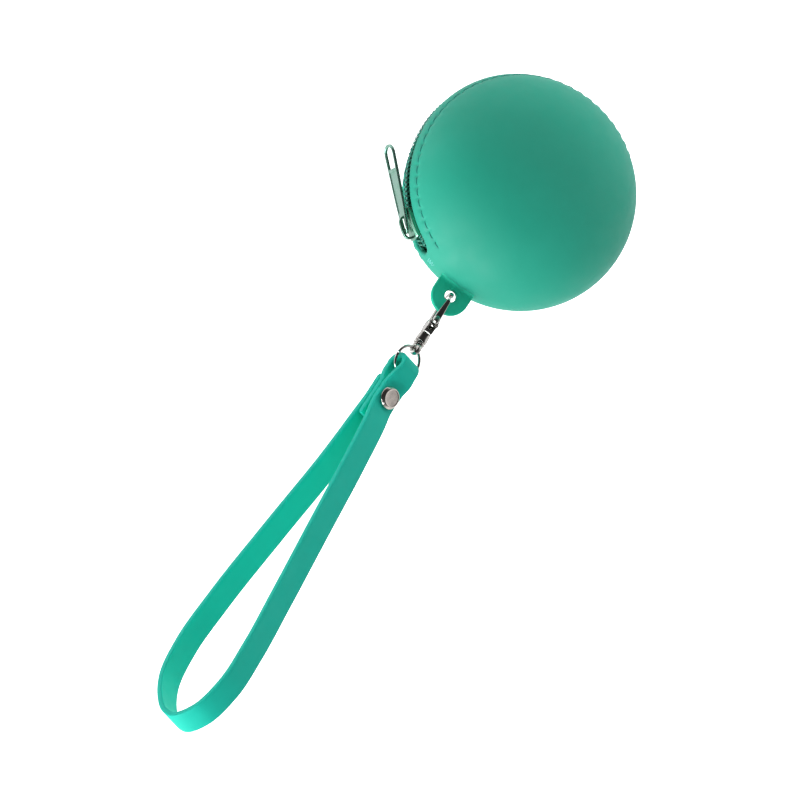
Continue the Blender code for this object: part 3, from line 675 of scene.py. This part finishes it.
def rounded_outline(points, radius, steps=4):
    """A closed outline with softened corners."""
    points = np.asarray(points, dtype=float)
    return soften(np.roll(points, 1, axis=0), points, np.roll(points, -1, axis=0), radius, steps)


def soft_bar(half_width, half_height, radius, steps=4):
    """The section of a flat bar with softened corners."""
    corners = np.array([(-1, -1), (1, -1), (1, 1), (-1, 1)]) * np.array([half_width, half_height])
    return rounded_outline(corners, radius, steps)


def resampled(knots, count):
    """A number of points on the straight lines between knots, an equal share of them on each line."""
    share = np.linspace(0.0, len(knots) - 1.0, count)
    return together(*(np.interp(share, np.arange(len(knots)), column) for column in knots.T))


def smoothed(values):
    """Values along a line, drawn twice towards the mean of their neighbours, with the two ends kept."""
    for passes in range(2):
        values[1:-1] = (values[:-2] + 2 * values[1:-1] + values[2:]) / 4
    return values


def on_slider(along, across, height):
    """A place on the slider: along the rim, across the zip, and out from the ball's centre."""
    return rim_place(SLIDER_ANGLE + along / BALL_RADIUS, height, across)


def slider_bar(section, edge):
    """A section, given for a half width of one, stretched to the slider's width at stations along it.

    The width is full at the shoulders and falls by a parabola towards the closing end. Towards each end
    the section moves in along its normals on a quarter circle, and the ends bow out in plan.
    """
    step, drop = quarter(edge, 6)
    reach = SLIDER_HALF_LENGTH - edge
    station = np.concatenate([step - SLIDER_HALF_LENGTH, np.linspace(-reach, reach, 24)[1:-1],
                              SLIDER_HALF_LENGTH - step[::-1]])
    rows = []
    for place, draw in zip(station, np.concatenate([drop, np.zeros(22), drop[::-1]])):
        share = max(place - SLIDER_SHOULDER_END, 0.0) / (SLIDER_HALF_LENGTH - SLIDER_SHOULDER_END)
        row = offset_section(section * np.array([SLIDER_HALF_WIDTH - SLIDER_TAPER * share ** 2, 1.0]), draw)
        bow = place * (1.0 - SLIDER_END_BOW * (row[:, 0] / SLIDER_HALF_WIDTH) ** 2)
        rows.append(on_slider(bow, row[:, 0], row[:, 1]))
    return bars(capped(np.array(rows)))


def make_slider():
    """The two plates, the wedge between them and the bail, as one casting."""
    wall, brow, foot = CHANNEL_WALL, SLIDER_TOP - 0.06 * MM, SLIDER_BOTTOM + 0.15 * MM
    top = rounded_outline([(-1.0, CHANNEL_SHOULDER), (-wall, CHANNEL_SHOULDER), (-wall, CHANNEL_HIGH),
                           (wall, CHANNEL_HIGH), (wall, CHANNEL_SHOULDER), (1.0, CHANNEL_SHOULDER),
                           (1.0, SLIDER_TOP - 0.5 * MM), (0.78, brow), (0.0, SLIDER_TOP), (-0.78, brow),
                           (-1.0, SLIDER_TOP - 0.5 * MM)], 0.16 * MM, 3)
    low = rounded_outline([(-0.97, foot), (-0.97, CHANNEL_LOW), (0.97, CHANNEL_LOW), (0.97, foot),
                           (0.0, SLIDER_BOTTOM)], 0.2 * MM, 3)
    wedge = np.array([(-4.85, 0.0), (-3.3, -0.55), (-2.2, 0.0), (-3.3, 0.55)]) * MM
    wedge = rounded_outline(wedge, 0.3 * MM)
    levels = np.linspace(CHANNEL_LOW - 0.2 * MM, CHANNEL_HIGH + 0.2 * MM, 6)[:, None]
    arch = np.array([(-4.5, 40.3), (-4.45, 41.6), (-4.1, 42.5), (-3.3, 43.05), (-0.9, 43.16), (1.5, 43.05),
                     (2.4, 42.5), (2.75, 41.6), (2.8, 40.3)]) * MM
    along, level = smoothed(resampled(arch, 41)).T
    foot_width = 1.0 + 0.35 * np.abs(np.linspace(-1, 1, 41)) ** 6
    bail = soft_bar(0.78 * MM, 0.42 * MM, 0.25 * MM) * together(foot_width, 1.0)[:, None]
    return mesh_object("slider", slider_bar(top, 0.32 * MM), slider_bar(low, 0.30 * MM),
                       bars(capped(on_slider(wedge[:, 0], wedge[:, 1], levels))),
                       tube(on_slider(along, 0.0, level), bail, ACROSS))


def plating_group():
    """A hard bright finish: faint smudges in its gloss, hairline scratches and darker worn patches."""
    tree, given, out = new_group("bright_finish", {"Colour": PAINT_COLOUR, "Worn": PAINT_DARK, "Gloss": 0.15})
    place = given["Position"]
    patch = remap(tree, noise(tree, place, 420.0, 3.0), 0.45, 0.75)
    smudge = remap(tree, noise(tree, place, 260.0, 4.0), 0.3, 0.7, 0.0, 0.10)
    stretch = add_node(tree, "Mapping", {"Vector": place, "Scale": (1.0, 1.0, 0.08)}).outputs["Vector"]
    feed(tree, out, {"Colour": mix_colour(tree, patch, given["Colour"], given["Worn"]),
                     "Roughness": maths(tree, "ADD", smudge, given["Gloss"]),
                     "Height": noise(tree, stretch, 9000.0, 2.0)})
    return tree


BRIGHT_FINISH = plating_group()


def metal_material(name, colour, worn, gloss, metallic=1.0, coat=0.0):
    """A plated or painted casting."""
    return give_finish(new_material(name), BRIGHT_FINISH, {"Colour": colour, "Worn": worn, "Gloss": gloss},
                       0.01 * MM, 0.25, {"Metallic": metallic, "Coat Weight": coat, "Coat Roughness": 0.08})


GREEN_PAINT = metal_material("pale_green_paint", PAINT_COLOUR, PAINT_DARK, 0.20, 0.9, 0.2)
dress(make_slider(), GREEN_PAINT, "slider", "slider_body")

# Pull. A long stamped zinc tongue in the slider's green: an eye in the bail, a sunk panel between raised
# borders, and an open window near its round tip.
PULL_LENGTH = 31.2 * MM
PULL_HALF_WIDTH = 3.5 * MM
PULL_LEAN = math.radians(7.0)
PULL_TWIST = math.radians(10.0)
PULL_PIVOT = (-2.4 * MM, 42.1 * MM)
PULL_BORDER = 1.0 * MM
PANEL_HALF_THICKNESS = 0.26 * MM
CROSS_BAR_HALF_THICKNESS = 0.44 * MM
PANEL_COLOUR = (0.300, 0.520, 0.430, 1.0)


def tilted(along, out, angle):
    """X and Z of a point, from its distances along and out of a face tilted by an angle."""
    return along * np.cos(angle) + out * np.sin(angle), out * np.cos(angle) - along * np.sin(angle)


def on_pull(along, across, height):
    """A place on the pull: along it from its pivot, across it and out of its face.

    The stamped plate is a little twisted, from nothing at its neck to the full twist at its tip.
    """
    twist = PULL_TWIST * np.clip(along / PULL_LENGTH, 0.0, 1.0)
    across, height = (across * np.cos(twist) - height * np.sin(twist),
                      height * np.cos(twist) + across * np.sin(twist))
    pivot_x, pivot_z = tilted(*PULL_PIVOT, SLIDER_ANGLE)
    x, z = tilted(along, height, SLIDER_ANGLE + PULL_LEAN)
    return together(pivot_x + x, across, BALL_Z + pivot_z + z)


def make_pull():
    """A rim bar carried round the outline, with a thin panel and two cross bars let into it."""
    half = PULL_BORDER / 2
    end = PULL_LENGTH - 0.8 * MM - half
    wide = PULL_HALF_WIDTH - half
    arc = np.radians(np.linspace(-90.0, 90.0, 25))
    tip = together(end - wide + wide * np.cos(arc), wide * np.sin(arc))
    neck = np.array([(10.0, 3.0), (7.4, 2.85), (5.2, 2.62), (3.0, 2.35), (1.2, 2.1), (0.25, 1.75),
                     (0.0, 1.2), (0.0, 0.4)]) * MM
    upper = np.concatenate([together(np.linspace(end - wide, 10.0 * MM, 14)[1:-1], wide), neck])
    outline = np.concatenate([tip, upper, upper[::-1] * np.array([1.0, -1.0])])
    for passes in range(2):
        outline = (np.roll(outline, 1, axis=0) + 2 * outline + np.roll(outline, -1, axis=0)) / 4
    out = on_pull(0.0, 0.0, 1.0) - on_pull(0.0, 0.0, 0.0)
    rim = carry(on_pull(outline[:, 0], outline[:, 1], 0.0), soft_bar(half, half, 0.26 * MM), out, closed=True)
    shapes = [bars(rim, along=True)]
    for low, high, thick in ((5.6, 21.9, PANEL_HALF_THICKNESS), (5.5, 7.0, CROSS_BAR_HALF_THICKNESS),
                             (20.9, 22.0, CROSS_BAR_HALF_THICKNESS)):
        station = np.linspace(low, high, 20)[:, None] * MM
        reach = np.interp(station, neck[2::-1, 0], neck[2::-1, 1])
        block = soft_bar(1.0, thick, 0.12 * MM, 3)
        shapes.append(bars(capped(on_pull(station, block[:, 0] * reach, block[:, 1]))))
    return mesh_object("pull", *shapes)


PULL_PAINT = metal_material("pull_paint", PANEL_COLOUR, PAINT_COLOUR, 0.20, 0.9, 0.2)
dress(make_pull(), PULL_PAINT, "pull", "pull_tab")

# Snap hook. A zinc casting, barrel polished and nickel plated: a tapered bow through the tab's hole, two
# cheeks for the gate and a barrel that the swivel's headed post is caught in.
HOOK_CENTRE_Z = BALL_Z + 50.2 * MM
HOOK_HALF_WIDTH = 3.7 * MM
HOOK_HALF_HEIGHT = 6.6 * MM
HOOK_SQUARENESS = 2.6
CHEEK_INNER = 0.9 * MM
CHEEK_OUTER = 1.5 * MM
NICKEL_COLOUR = (0.66, 0.64, 0.61, 1.0)
NICKEL_WORN = (0.50, 0.48, 0.46, 1.0)
SIDEWAYS = np.array([1.0, 0.0, 0.0])


def turned(profile, soft, steps, axes=np.eye(3), origin=(0.0, 0.0, BALL_Z)):
    """A profile of radius and height in millimetres turned about an axis, its corners softened.

    The columns of axes point where the circle's cosine, its sine and the height do, from the origin.
    """
    profile = np.array(profile) * MM
    curve = soften(profile[:-2], profile[1:-1], profile[2:], soft, 4)
    radius, height = np.concatenate([profile[:1], curve, profile[-1:]]).T[:, :, None]
    angle = np.linspace(0.0, 2 * np.pi, steps, endpoint=False)
    return bars(together(radius * np.cos(angle), radius * np.sin(angle), height) @ axes.T + origin)


def hook_plate(outline, low, high, edge, centre):
    """A flat casting across X: rings of its outline of (y, z), drawn in at both faces on a quarter circle."""
    outline = rounded_outline(np.array(outline) * MM, 0.5 * MM, 5)
    step, drop = quarter(edge, 5)
    x = np.concatenate([[low], low + step, high - step[::-1], [high]])[:, None]
    hub = np.broadcast_to(np.array(centre) * MM, outline.shape)
    rings = [offset_section(outline, draw) for draw in np.concatenate([drop, drop[::-1]])]
    rings = np.array([hub, *rings, hub])
    return bars(together(x, rings[..., 0], BALL_Z + rings[..., 1]))


def make_hook():
    """The bow is a round bar on a squared oval, thick at its back and thin at its nose."""
    degrees = np.linspace(-42.0, 148.0, 72)
    sine, cosine = np.sin(np.radians(degrees)), np.cos(np.radians(degrees))
    power = 2 / HOOK_SQUARENESS
    y = np.sign(sine) * np.abs(sine) ** power * HOOK_HALF_WIDTH
    z = HOOK_CENTRE_Z - np.sign(cosine) * np.abs(cosine) ** power * HOOK_HALF_HEIGHT
    size = np.minimum(1.25, 0.75 + 0.50 * (degrees + 42) / 110) * MM
    size[:3] *= np.array([0.55, 0.85, 0.97])
    bow = tube(together(0.0, y, z), round_section(1.0, 18) * size[:, None, None], SIDEWAYS)
    cheek = [(-4.1, 55.0), (-2.4, 54.9), (-1.4, 55.6), (1.4, 55.6), (2.4, 54.0), (5.0, 54.0), (4.7, 57.4),
             (2.6, 60.2), (-2.6, 60.2), (-4.1, 57.7)]
    core = [(-1.4, 55.7), (1.4, 55.7), (2.4, 54.1), (4.9, 54.1), (4.6, 57.3), (2.5, 60.1), (-2.5, 60.1),
            (-3.6, 58.7), (-1.4, 58.7)]
    barrel = [(0.0, 58.8), (1.4, 58.8), (1.75, 59.3), (1.92, 60.2), (2.0, 61.3), (2.1, 62.5), (2.1, 62.9),
              (1.9, 63.2), (0.95, 63.2), (0.95, 62.0), (1.45, 62.0), (1.45, 60.8), (0.0, 60.8)]
    return mesh_object("snap_hook", bow,
                       hook_plate(cheek, -CHEEK_OUTER, -CHEEK_INNER, 0.28 * MM, (0.2, 57.6)),
                       hook_plate(cheek, CHEEK_INNER, CHEEK_OUTER, 0.28 * MM, (0.2, 57.6)),
                       hook_plate(core, -1.0 * MM, 1.0 * MM, 0.05 * MM, (0.9, 59.0)),
                       turned(barrel, 0.14 * MM, 48))


NICKEL = metal_material("polished_nickel", NICKEL_COLOUR, NICKEL_WORN, 0.07)
dress(make_hook(), NICKEL, "hook", "snap_hook_body")

# Gate, its pin and its spring. The gate is a small nickel-plated lever with a ridged thumb lug, turned
# inwards on a riveted pin and pushed shut by a bent spring wire behind it.
GATE_PIVOT = (0.0, -3.0 * MM, BALL_Z + 56.3 * MM)
LUG_Z = BALL_Z + 55.0 * MM
LUG_HALF_HEIGHT = 1.5 * MM
LUG_HALF_WIDTH = 1.25 * MM
LUG_HALF_DEPTH = 1.15 * MM
LUG_MIDDLE = -4.35 * MM
CHEEK_FACE = -4.2 * MM
CHEEK_FOOT = BALL_Z + 54.7 * MM
SPRING_RADIUS = 0.14 * MM


def make_gate():
    """A lever whose width, depth and middle line change up its length, and a ridged lug on its front.

    The lever is broad below the cheeks and narrow between them. The lug is a round column whose size is
    a bulge times a small wave, and where it passes the cheeks it stays in front of them.
    """
    height = np.array([46.2, 48.0, 50.0, 52.4, 54.2, 54.7, 55.1, 56.0, 56.8, 57.4])
    middle = np.array([-3.50, -3.42, -3.35, -3.28, -3.25, -3.20, -3.15, -3.10, -3.10, -3.10])
    deep = np.array([0.52, 0.62, 0.75, 0.85, 0.90, 0.90, 0.90, 0.95, 0.95, 0.70])
    broad = np.array([0.60, 0.78, 0.92, 1.08, 1.18, 1.10, 0.66, 0.62, 0.62, 0.55])
    station = np.linspace(height[0], height[-1], 46)[:, None]
    centre, depth, width = (smoothed(np.interp(station, height, row)) for row in (middle, deep, broad))
    end = np.ones((46, 1))
    end[[0, 1, -2, -1], 0] = (0.6, 0.9, 0.9, 0.6)
    across, out = soft_bar(1.0, 1.0, 0.45).T[::-1]
    lever = together(across * width * end * MM, (centre + out * depth * end) * MM, BALL_Z + station * MM)
    rise = np.linspace(-1.0, 1.0, 41)[:, None]
    swell = (1.0 - np.abs(rise) ** 2.4) ** 0.5 * (1 + 0.04 * np.cos(rise * 22.0))
    out, across = round_section(1.0, 24).T
    x, y = LUG_HALF_WIDTH * across * swell, LUG_MIDDLE + LUG_HALF_DEPTH * out * swell
    z = LUG_Z + LUG_HALF_HEIGHT * rise
    lug = together(x, np.where(z > CHEEK_FOOT, np.minimum(y, CHEEK_FACE), y), z)
    return mesh_object("gate", bars(capped(lever)), bars(capped(lug)))


def make_gate_pin():
    """A pin with two low domed heads, turned about X."""
    half = [(0.0, 1.9), (0.45, 1.88), (0.72, 1.72), (0.75, 1.6), (0.45, 1.6)]
    profile = half + [(radius, -height) for radius, height in half[::-1]]
    axes = np.array([(0.0, 0.0, 1.0), (1.0, 0.0, 0.0), (0.0, 1.0, 0.0)])
    return mesh_object("gate_rivet", turned(profile, 0.06 * MM, 28, axes, GATE_PIVOT))


def make_gate_spring():
    """A fine wire bent down the slot behind the gate."""
    route = np.array([(-1.65, 58.3), (-1.65, 57.4), (-1.63, 56.6), (-1.60, 55.8), (-1.75, 55.2),
                      (-2.05, 54.7)])
    y, z = resampled(route, 26).T * MM
    return mesh_object("gate_spring_wire", tube(together(0.0, y, z + BALL_Z), round_section(SPRING_RADIUS, 8),
                                                SIDEWAYS))


dress(make_gate(), NICKEL, "gate", "snap_gate")
dress(make_gate_pin(), NICKEL, "hook", "gate_pin")
dress(make_gate_spring(), NICKEL, "hook", "gate_spring")

# Swivel and wire ring. The swivel is a turned post, headed over inside the barrel, with a collar and an
# eye. The ring is a round of nickel-plated wire, bent shut through that eye and the strap's fold.
RING_Z = BALL_Z + 71.3 * MM
RING_RADIUS = 5.2 * MM
RING_WIRE = 0.55 * MM
EYE_RADIUS = 1.62 * MM
STRAP_YAW = math.radians(-30.4)
STRAP_SIDE = np.array([math.cos(STRAP_YAW), math.sin(STRAP_YAW), 0.0])
STRAP_OUT = np.array([math.sin(STRAP_YAW), -math.cos(STRAP_YAW), 0.0])
UP = np.array([0.0, 0.0, 1.0])


def circle(centre_z, radius, angle, side):
    """Points of an upright circle about the middle line, at angles from a sideways direction."""
    return centre_z * UP + radius * (np.cos(angle) * side + np.sin(angle) * UP)


def make_swivel():
    """A turned post and collar, and an eye made by a rounded section carried round the ring's wire."""
    profile = [(0.0, 65.0), (1.5, 64.98), (1.75, 64.85), (1.75, 64.6), (1.3, 64.5), (1.3, 64.3), (2.0, 64.2),
               (2.05, 63.9), (1.95, 63.5), (1.2, 63.35), (0.65, 63.3), (0.65, 61.7), (1.2, 61.65),
               (1.2, 61.05), (0.0, 61.0)]
    angle = np.linspace(0.0, 2 * np.pi, 56, endpoint=False)[:, None]
    path = circle(RING_Z - RING_RADIUS, EYE_RADIUS, angle, STRAP_OUT)
    eye = carry(path, soft_bar(0.85 * MM, 0.62 * MM, 0.45 * MM, 5), STRAP_SIDE, closed=True)
    return mesh_object("swivel", turned(profile, 0.10 * MM, 40), bars(eye, along=True))


def make_ring():
    """A circle of wire with a narrow gap at one side."""
    path = circle(RING_Z, RING_RADIUS, np.radians(np.linspace(3.0, 357.0, 120))[:, None], STRAP_SIDE)
    return mesh_object("split_ring", tube(path, round_section(RING_WIRE, 14), STRAP_OUT))


dress(make_swivel(), NICKEL, "swivel", "swivel_eye")
dress(make_ring(), NICKEL, "ring", "wire_ring")

# Wrist strap. One flat band of moulded silicone, about 9 mm wide and 1.9 mm thick. It loops over, comes
# back on itself, folds narrow round the wire ring and tucks its end between two layers under the rivet.
STRAP_HALF_WIDTH = 4.7 * MM
STRAP_WAIST = 4.0 * MM
STRAP_THICKNESS = 1.9 * MM
STRAP_EDGE = 0.42 * MM
FOLD_RADIUS = 3.2 * MM
FOLD_Z = RING_Z - 1.0 * MM + FOLD_RADIUS + STRAP_THICKNESS / 2
RIVET_Z = BALL_Z + 86.2 * MM
FRONT_LAYER = 1.6 * MM
LAYER_STEP = STRAP_THICKNESS + 0.3 * MM
BACK_LAYER = FRONT_LAYER - 2 * LAYER_STEP
STRAP_COLOUR = (0.006, 0.470, 0.350, 1.0)
STRAP_BLOOM = (0.018, 0.525, 0.405, 1.0)
# Partly painted light: the inside's brighter, more saturated green stands in for light bounced between the
# loop's faces, as well as for less bloom.
STRAP_INSIDE = (0.0006, 0.600, 0.430, 1.0)


def curve_through(points, spacing):
    """Points at about a spacing on a smooth cubic through given ones, its slopes weighted by chord."""
    points = np.array(points)
    chord = np.linalg.norm(np.diff(points, axis=0), axis=1)
    pace = np.diff(points, axis=0) / chord[:, None]
    before, after = chord[:-1, None], chord[1:, None]
    slope = np.concatenate([pace[:1], (pace[:-1] * after + pace[1:] * before) / (before + after), pace[-1:]])
    pieces = []
    for place, length in enumerate(chord):
        t = np.linspace(0.0, 1.0, max(2, round(length / spacing) + 1))[:-1, None]
        bow = slope[place] * t * (1 - t) ** 2 - slope[place + 1] * t ** 2 * (1 - t)
        pieces.append(points[place] * (1 - ease(t)) + points[place + 1] * ease(t) + length * bow)
    return np.concatenate([*pieces, points[-1:]])


def strap_route():
    """The strap's middle line as (out of the front, up), from its tucked end to its other end."""
    middle = FRONT_LAYER - LAYER_STEP
    below, above, bulge = RIVET_Z - 4.0 * MM, RIVET_Z + 4.0 * MM, FOLD_Z + 4.0 * MM
    tucked = curve_through([(middle, RIVET_Z + 9.8 * MM), (middle, below)], 1.0 * MM)
    turn = np.radians(np.linspace(180.0, 360.0, 37))
    fold = together(FOLD_RADIUS * np.cos(turn), FOLD_Z + FOLD_RADIUS * np.sin(turn))
    into = curve_through([tucked[-1], (-2.2 * MM, bulge), fold[0]], 0.5 * MM)
    out = curve_through([fold[-1], (2.7 * MM, bulge), (FRONT_LAYER, below)], 0.5 * MM)
    knots = np.array([(5.6, 110.5), (9.6, 140.0), (13.7, 170.0), (16.1, 190.0), (16.1, 205.5), (11.4, 217.0),
                      (4.6, 221.2), (-1.2, 219.9), (-6.9, 215.4), (-12.8, 207.0), (-15.6, 193.0),
                      (-14.5, 174.0), (-9.9, 143.0), (-5.1, 114.0)]) * MM
    loop = curve_through([(FRONT_LAYER, below), (FRONT_LAYER, above),
                          (FRONT_LAYER + 1.2 * MM, RIVET_Z + 8.5 * MM), *(knots + np.array([0.0, BALL_Z])),
                          (BACK_LAYER - 0.4 * MM, RIVET_Z + 8.0 * MM), (BACK_LAYER, above),
                          (BACK_LAYER, RIVET_Z - 6.0 * MM)], 1.0 * MM)
    return np.concatenate([tucked[:-1], into[:-1], fold, out[1:-1], loop])


def make_strap():
    """A rounded flat section carried along the route, drawn narrow where it folds round the ring.

    The attribute keeps the distance along, the distance across and the side of the band, plus one on
    the inside of the loop and minus one on its outside.
    """
    route = strap_route()
    path = route[:, :1] * STRAP_OUT + route[:, 1:] * UP
    length = np.concatenate([[0.0], np.cumsum(np.linalg.norm(np.diff(path, axis=0), axis=1))])[:, None]
    near = ease(np.clip((route[:, 1:] - RING_Z - 3.0 * MM) / (5.0 * MM), 0.0, 1.0))
    half = STRAP_WAIST + (STRAP_HALF_WIDTH - STRAP_WAIST) * near
    thick = STRAP_THICKNESS / 2
    end = np.clip(np.minimum(length, length[-1] - length) / STRAP_EDGE, 0.0, 1.0)
    drawn = 1 - np.sqrt(np.clip(1 - (1 - end) ** 2, 0.0, 1.0))
    corner, drop = quarter(STRAP_EDGE, 5)
    flat = (half - STRAP_EDGE) * np.linspace(-1.0, 1.0, 9)[1:-1]
    upper = np.concatenate([-half + corner, flat, half - corner[::-1]], axis=1)
    across = np.concatenate([upper, upper[:, ::-1]], axis=1)
    lift = thick - np.concatenate([drop, np.zeros(7), drop[::-1]])
    level = np.concatenate([lift, -lift])
    section = together(across * (1 - 0.05 * drawn), level * (1 - 0.35 * drawn))
    values = together(length, across, level / thick)
    values = np.concatenate([values[:1], values, values[-1:]])
    return mesh_object("wrist_band", tube(path, section, STRAP_SIDE), values=values)


def strap_material():
    """Silicone whose loop is more deeply and brightly coloured on its inside: partly less dust and bloom
    there, and partly painted bounce light between the loop's green faces.
    """
    made = new_material("strap_silicone")
    tree = made.node_tree
    side = add_node(tree, "SeparateXYZ", {0: surface_value(tree)}).outputs[2]
    inside = remap(tree, side, 0.85, 0.97)
    colour, bloom = (mix_colour(tree, inside, outer, STRAP_INSIDE) for outer in (STRAP_COLOUR, STRAP_BLOOM))
    return give_silicone(made, colour, bloom, 0.3, sheen=0.10, specular=0.16)


dress(make_strap(), strap_material(), "strap", "wrist_strap")

# Rivet. A pressed nickel-plated cap on the strap's front, with a flat top inside a sloping border, and a
# plainer cap behind, whose post is driven into the first one's tube through the three layers.
RIVET_FRONT = FRONT_LAYER + STRAP_THICKNESS / 2 + 0.1 * MM
RIVET_BACK = BACK_LAYER - STRAP_THICKNESS / 2 - 0.1 * MM
TUBE_END = (RIVET_BACK - RIVET_FRONT) / MM + 0.7
RIVET_COLOUR = (0.80, 0.72, 0.66, 1.0)
RIVET_WORN = (0.58, 0.53, 0.49, 1.0)


def make_rivet(name, profile, seat):
    """A profile turned about the line through the strap's layers, from the face that it is pressed on."""
    axes = np.column_stack([STRAP_SIDE, UP, STRAP_OUT])
    return mesh_object(name, turned(profile, 0.14 * MM, 64, axes, RIVET_Z * UP + seat * STRAP_OUT))


RIVET_PLATE = metal_material("rivet_nickel", RIVET_COLOUR, RIVET_WORN, 0.16)
rivet_front = make_rivet("rivet_front", [(0.0, 1.42), (2.72, 1.40), (2.95, 1.50), (3.25, 1.42), (3.86, 0.72),
                                         (4.0, 0.35), (3.9, 0.0), (1.35, 0.0), (1.35, TUBE_END),
                                         (0.0, TUBE_END)], RIVET_FRONT)
rivet_behind = make_rivet("rivet_behind", [(0.0, 0.5), (0.55, 0.5), (0.55, 0.0), (3.6, 0.0), (3.7, -0.3),
                                           (3.2, -0.95), (1.6, -1.2), (0.0, -1.28)], RIVET_BACK)
dress(rivet_front, RIVET_PLATE, "strap", "rivet_cap")
dress(rivet_behind, RIVET_PLATE, "strap", "rivet_post")

# Studio. A pale floor far under the hanging purse, a large soft box above it, a faint one on the zip's
# side, and a surround that is white to the camera, bright at the sides and dark in front.
FLOOR_Z = -450.0 * MM
FLOOR_HALF_WIDTH = 3.0
FLOOR_COLOUR = (0.80, 0.80, 0.80, 1.0)
FLOOR_LIGHT = (0.83, 0.83, 0.83, 1.0)
FLOOR_GLOW = 0.75
LENS = 900.0
SENSOR = 36.0
FRAME_WIDTH = 267.2 * MM
VIEW_CENTRE = np.array([-8.2, 24.6, -145.0]) * MM
TO_CAMERA = unit(np.array([0.1201, -0.9398, 0.3199]))
IMAGE_UP = np.array([0.5785, -0.1956, -0.7919])
LAMP_AIM = np.array([0.0, 0.0, -0.15])
LAMP_COLOUR = (0.93, 0.97, 1.0)
WHITE = (1.0, 1.0, 1.0, 1.0)
# Brightness of the surround from straight behind the object (0) to straight behind the camera (1)
FILL_STOPS = ((0.0, 0.45), (1.0, 0.27), (0.45, 0.58), (0.70, 0.36))
MIRROR_STOPS = ((0.0, 0.80), (1.0, 0.03), (0.40, 0.95), (0.52, 0.78), (0.65, 0.08), (0.80, 0.03))


def set_up(name, data, right, back, place):
    """A camera or lamp at a place, its X to the right and its back turned the given way."""
    made = bpy.data.objects.new(name, data)
    columns = np.column_stack([right, np.cross(back, right), back, place])
    made.matrix_world = Matrix(columns.tolist() + [[0, 0, 0, 1]])
    bpy.context.scene.collection.objects.link(made)
    return made


def add_camera():
    """A long lens on the line that the photograph was taken along."""
    data = bpy.data.cameras.new("camera")
    data.lens = LENS
    data.sensor_width = SENSOR
    data.clip_end = 20.0
    place = VIEW_CENTRE + TO_CAMERA * FRAME_WIDTH * LENS / SENSOR
    right = unit(np.cross(IMAGE_UP, TO_CAMERA))
    bpy.context.scene.camera = set_up("camera", data, right, TO_CAMERA, place)


def add_soft_box(name, direction, distance, size, power):
    """A square area lamp that faces the object's middle."""
    direction = unit(np.array(direction))
    data = bpy.data.lights.new(name, "AREA")
    data.size = size
    data.energy = power
    data.color = LAMP_COLOUR
    right = unit(np.cross(np.array([0.0, 1.0, 0.02]), direction))
    set_up(name, data, right, direction, LAMP_AIM + direction * distance)


def add_world():
    """White to the camera, and a surround that is dark in front and bright at the sides and behind.

    The fill for matt surfaces follows the same round as the reflections do, with less contrast.
    """
    world = bpy.data.worlds.new("studio")
    world.use_nodes = True
    bpy.context.scene.world = world
    tree = world.node_tree
    tree.nodes.clear()
    rays = add_node(tree, "LightPath").outputs
    way = add_node(tree, "TexCoord").outputs["Generated"]
    facing = add_node(tree, "VectorMath", {0: way, 1: tuple(TO_CAMERA)}, operation="DOT_PRODUCT")
    place = remap(tree, facing.outputs["Value"], -1.0, 1.0)
    shades = []
    for stops in (FILL_STOPS, MIRROR_STOPS):
        ramp = add_node(tree, "ValToRGB", {0: place})
        elements = ramp.color_ramp.elements
        for number, (position, value) in enumerate(stops):
            element = elements[number] if number < 2 else elements.new(position)
            element.position = position
            element.color = (value, value, value, 1.0)
        shades.append(add_node(tree, "Background", {"Color": ramp.outputs[0]}).outputs[0])
    white = add_node(tree, "Background", {"Color": WHITE}).outputs[0]
    lit = add_node(tree, "MixShader", {0: rays["Is Glossy Ray"], 1: shades[0], 2: shades[1]}).outputs[0]
    seen = maths(tree, "MAXIMUM", rays["Is Camera Ray"], rays["Is Transmission Ray"])
    shown = add_node(tree, "MixShader", {0: seen, 1: lit, 2: white}).outputs[0]
    add_node(tree, "OutputWorld", {0: shown})


def add_floor():
    """A wide pale floor far under the hanging purse, lifted to white where only the camera sees it."""
    across = np.linspace(-FLOOR_HALF_WIDTH, FLOOR_HALF_WIDTH, 9)
    points = together(across, across[:, None], FLOOR_Z).reshape(-1, 3)
    mesh = bpy.data.meshes.new("floor")
    mesh.from_pydata(points.tolist(), [], quad_faces(9, 9, around=False).tolist())
    floor = bpy.data.objects.new("floor", mesh)
    bpy.context.scene.collection.objects.link(floor)
    made = new_material("pale_floor")
    tree = made.node_tree
    faint = remap(tree, noise(tree, add_node(tree, "TexCoord").outputs["Object"], 3.0, 2.0), 0.3, 0.7)
    seen = add_node(tree, "LightPath").outputs["Is Camera Ray"]
    feed(tree, tree.nodes["Principled BSDF"],
         {"Base Color": mix_colour(tree, faint, FLOOR_COLOUR, FLOOR_LIGHT), "Roughness": 0.9,
          "Emission Color": WHITE, "Emission Strength": maths(tree, "MULTIPLY", seen, FLOOR_GLOW)})
    mesh.materials.append(made)
    floor.visible_glossy = False


bpy.context.scene.view_settings.view_transform = "Standard"
add_camera()
add_world()
add_floor()
add_soft_box("key", (0.16, 0.08, 0.98), 2.4, 2.2, 112.0)
add_soft_box("side", (0.93, 0.33, -0.05), 1.1, 0.5, 1.2)
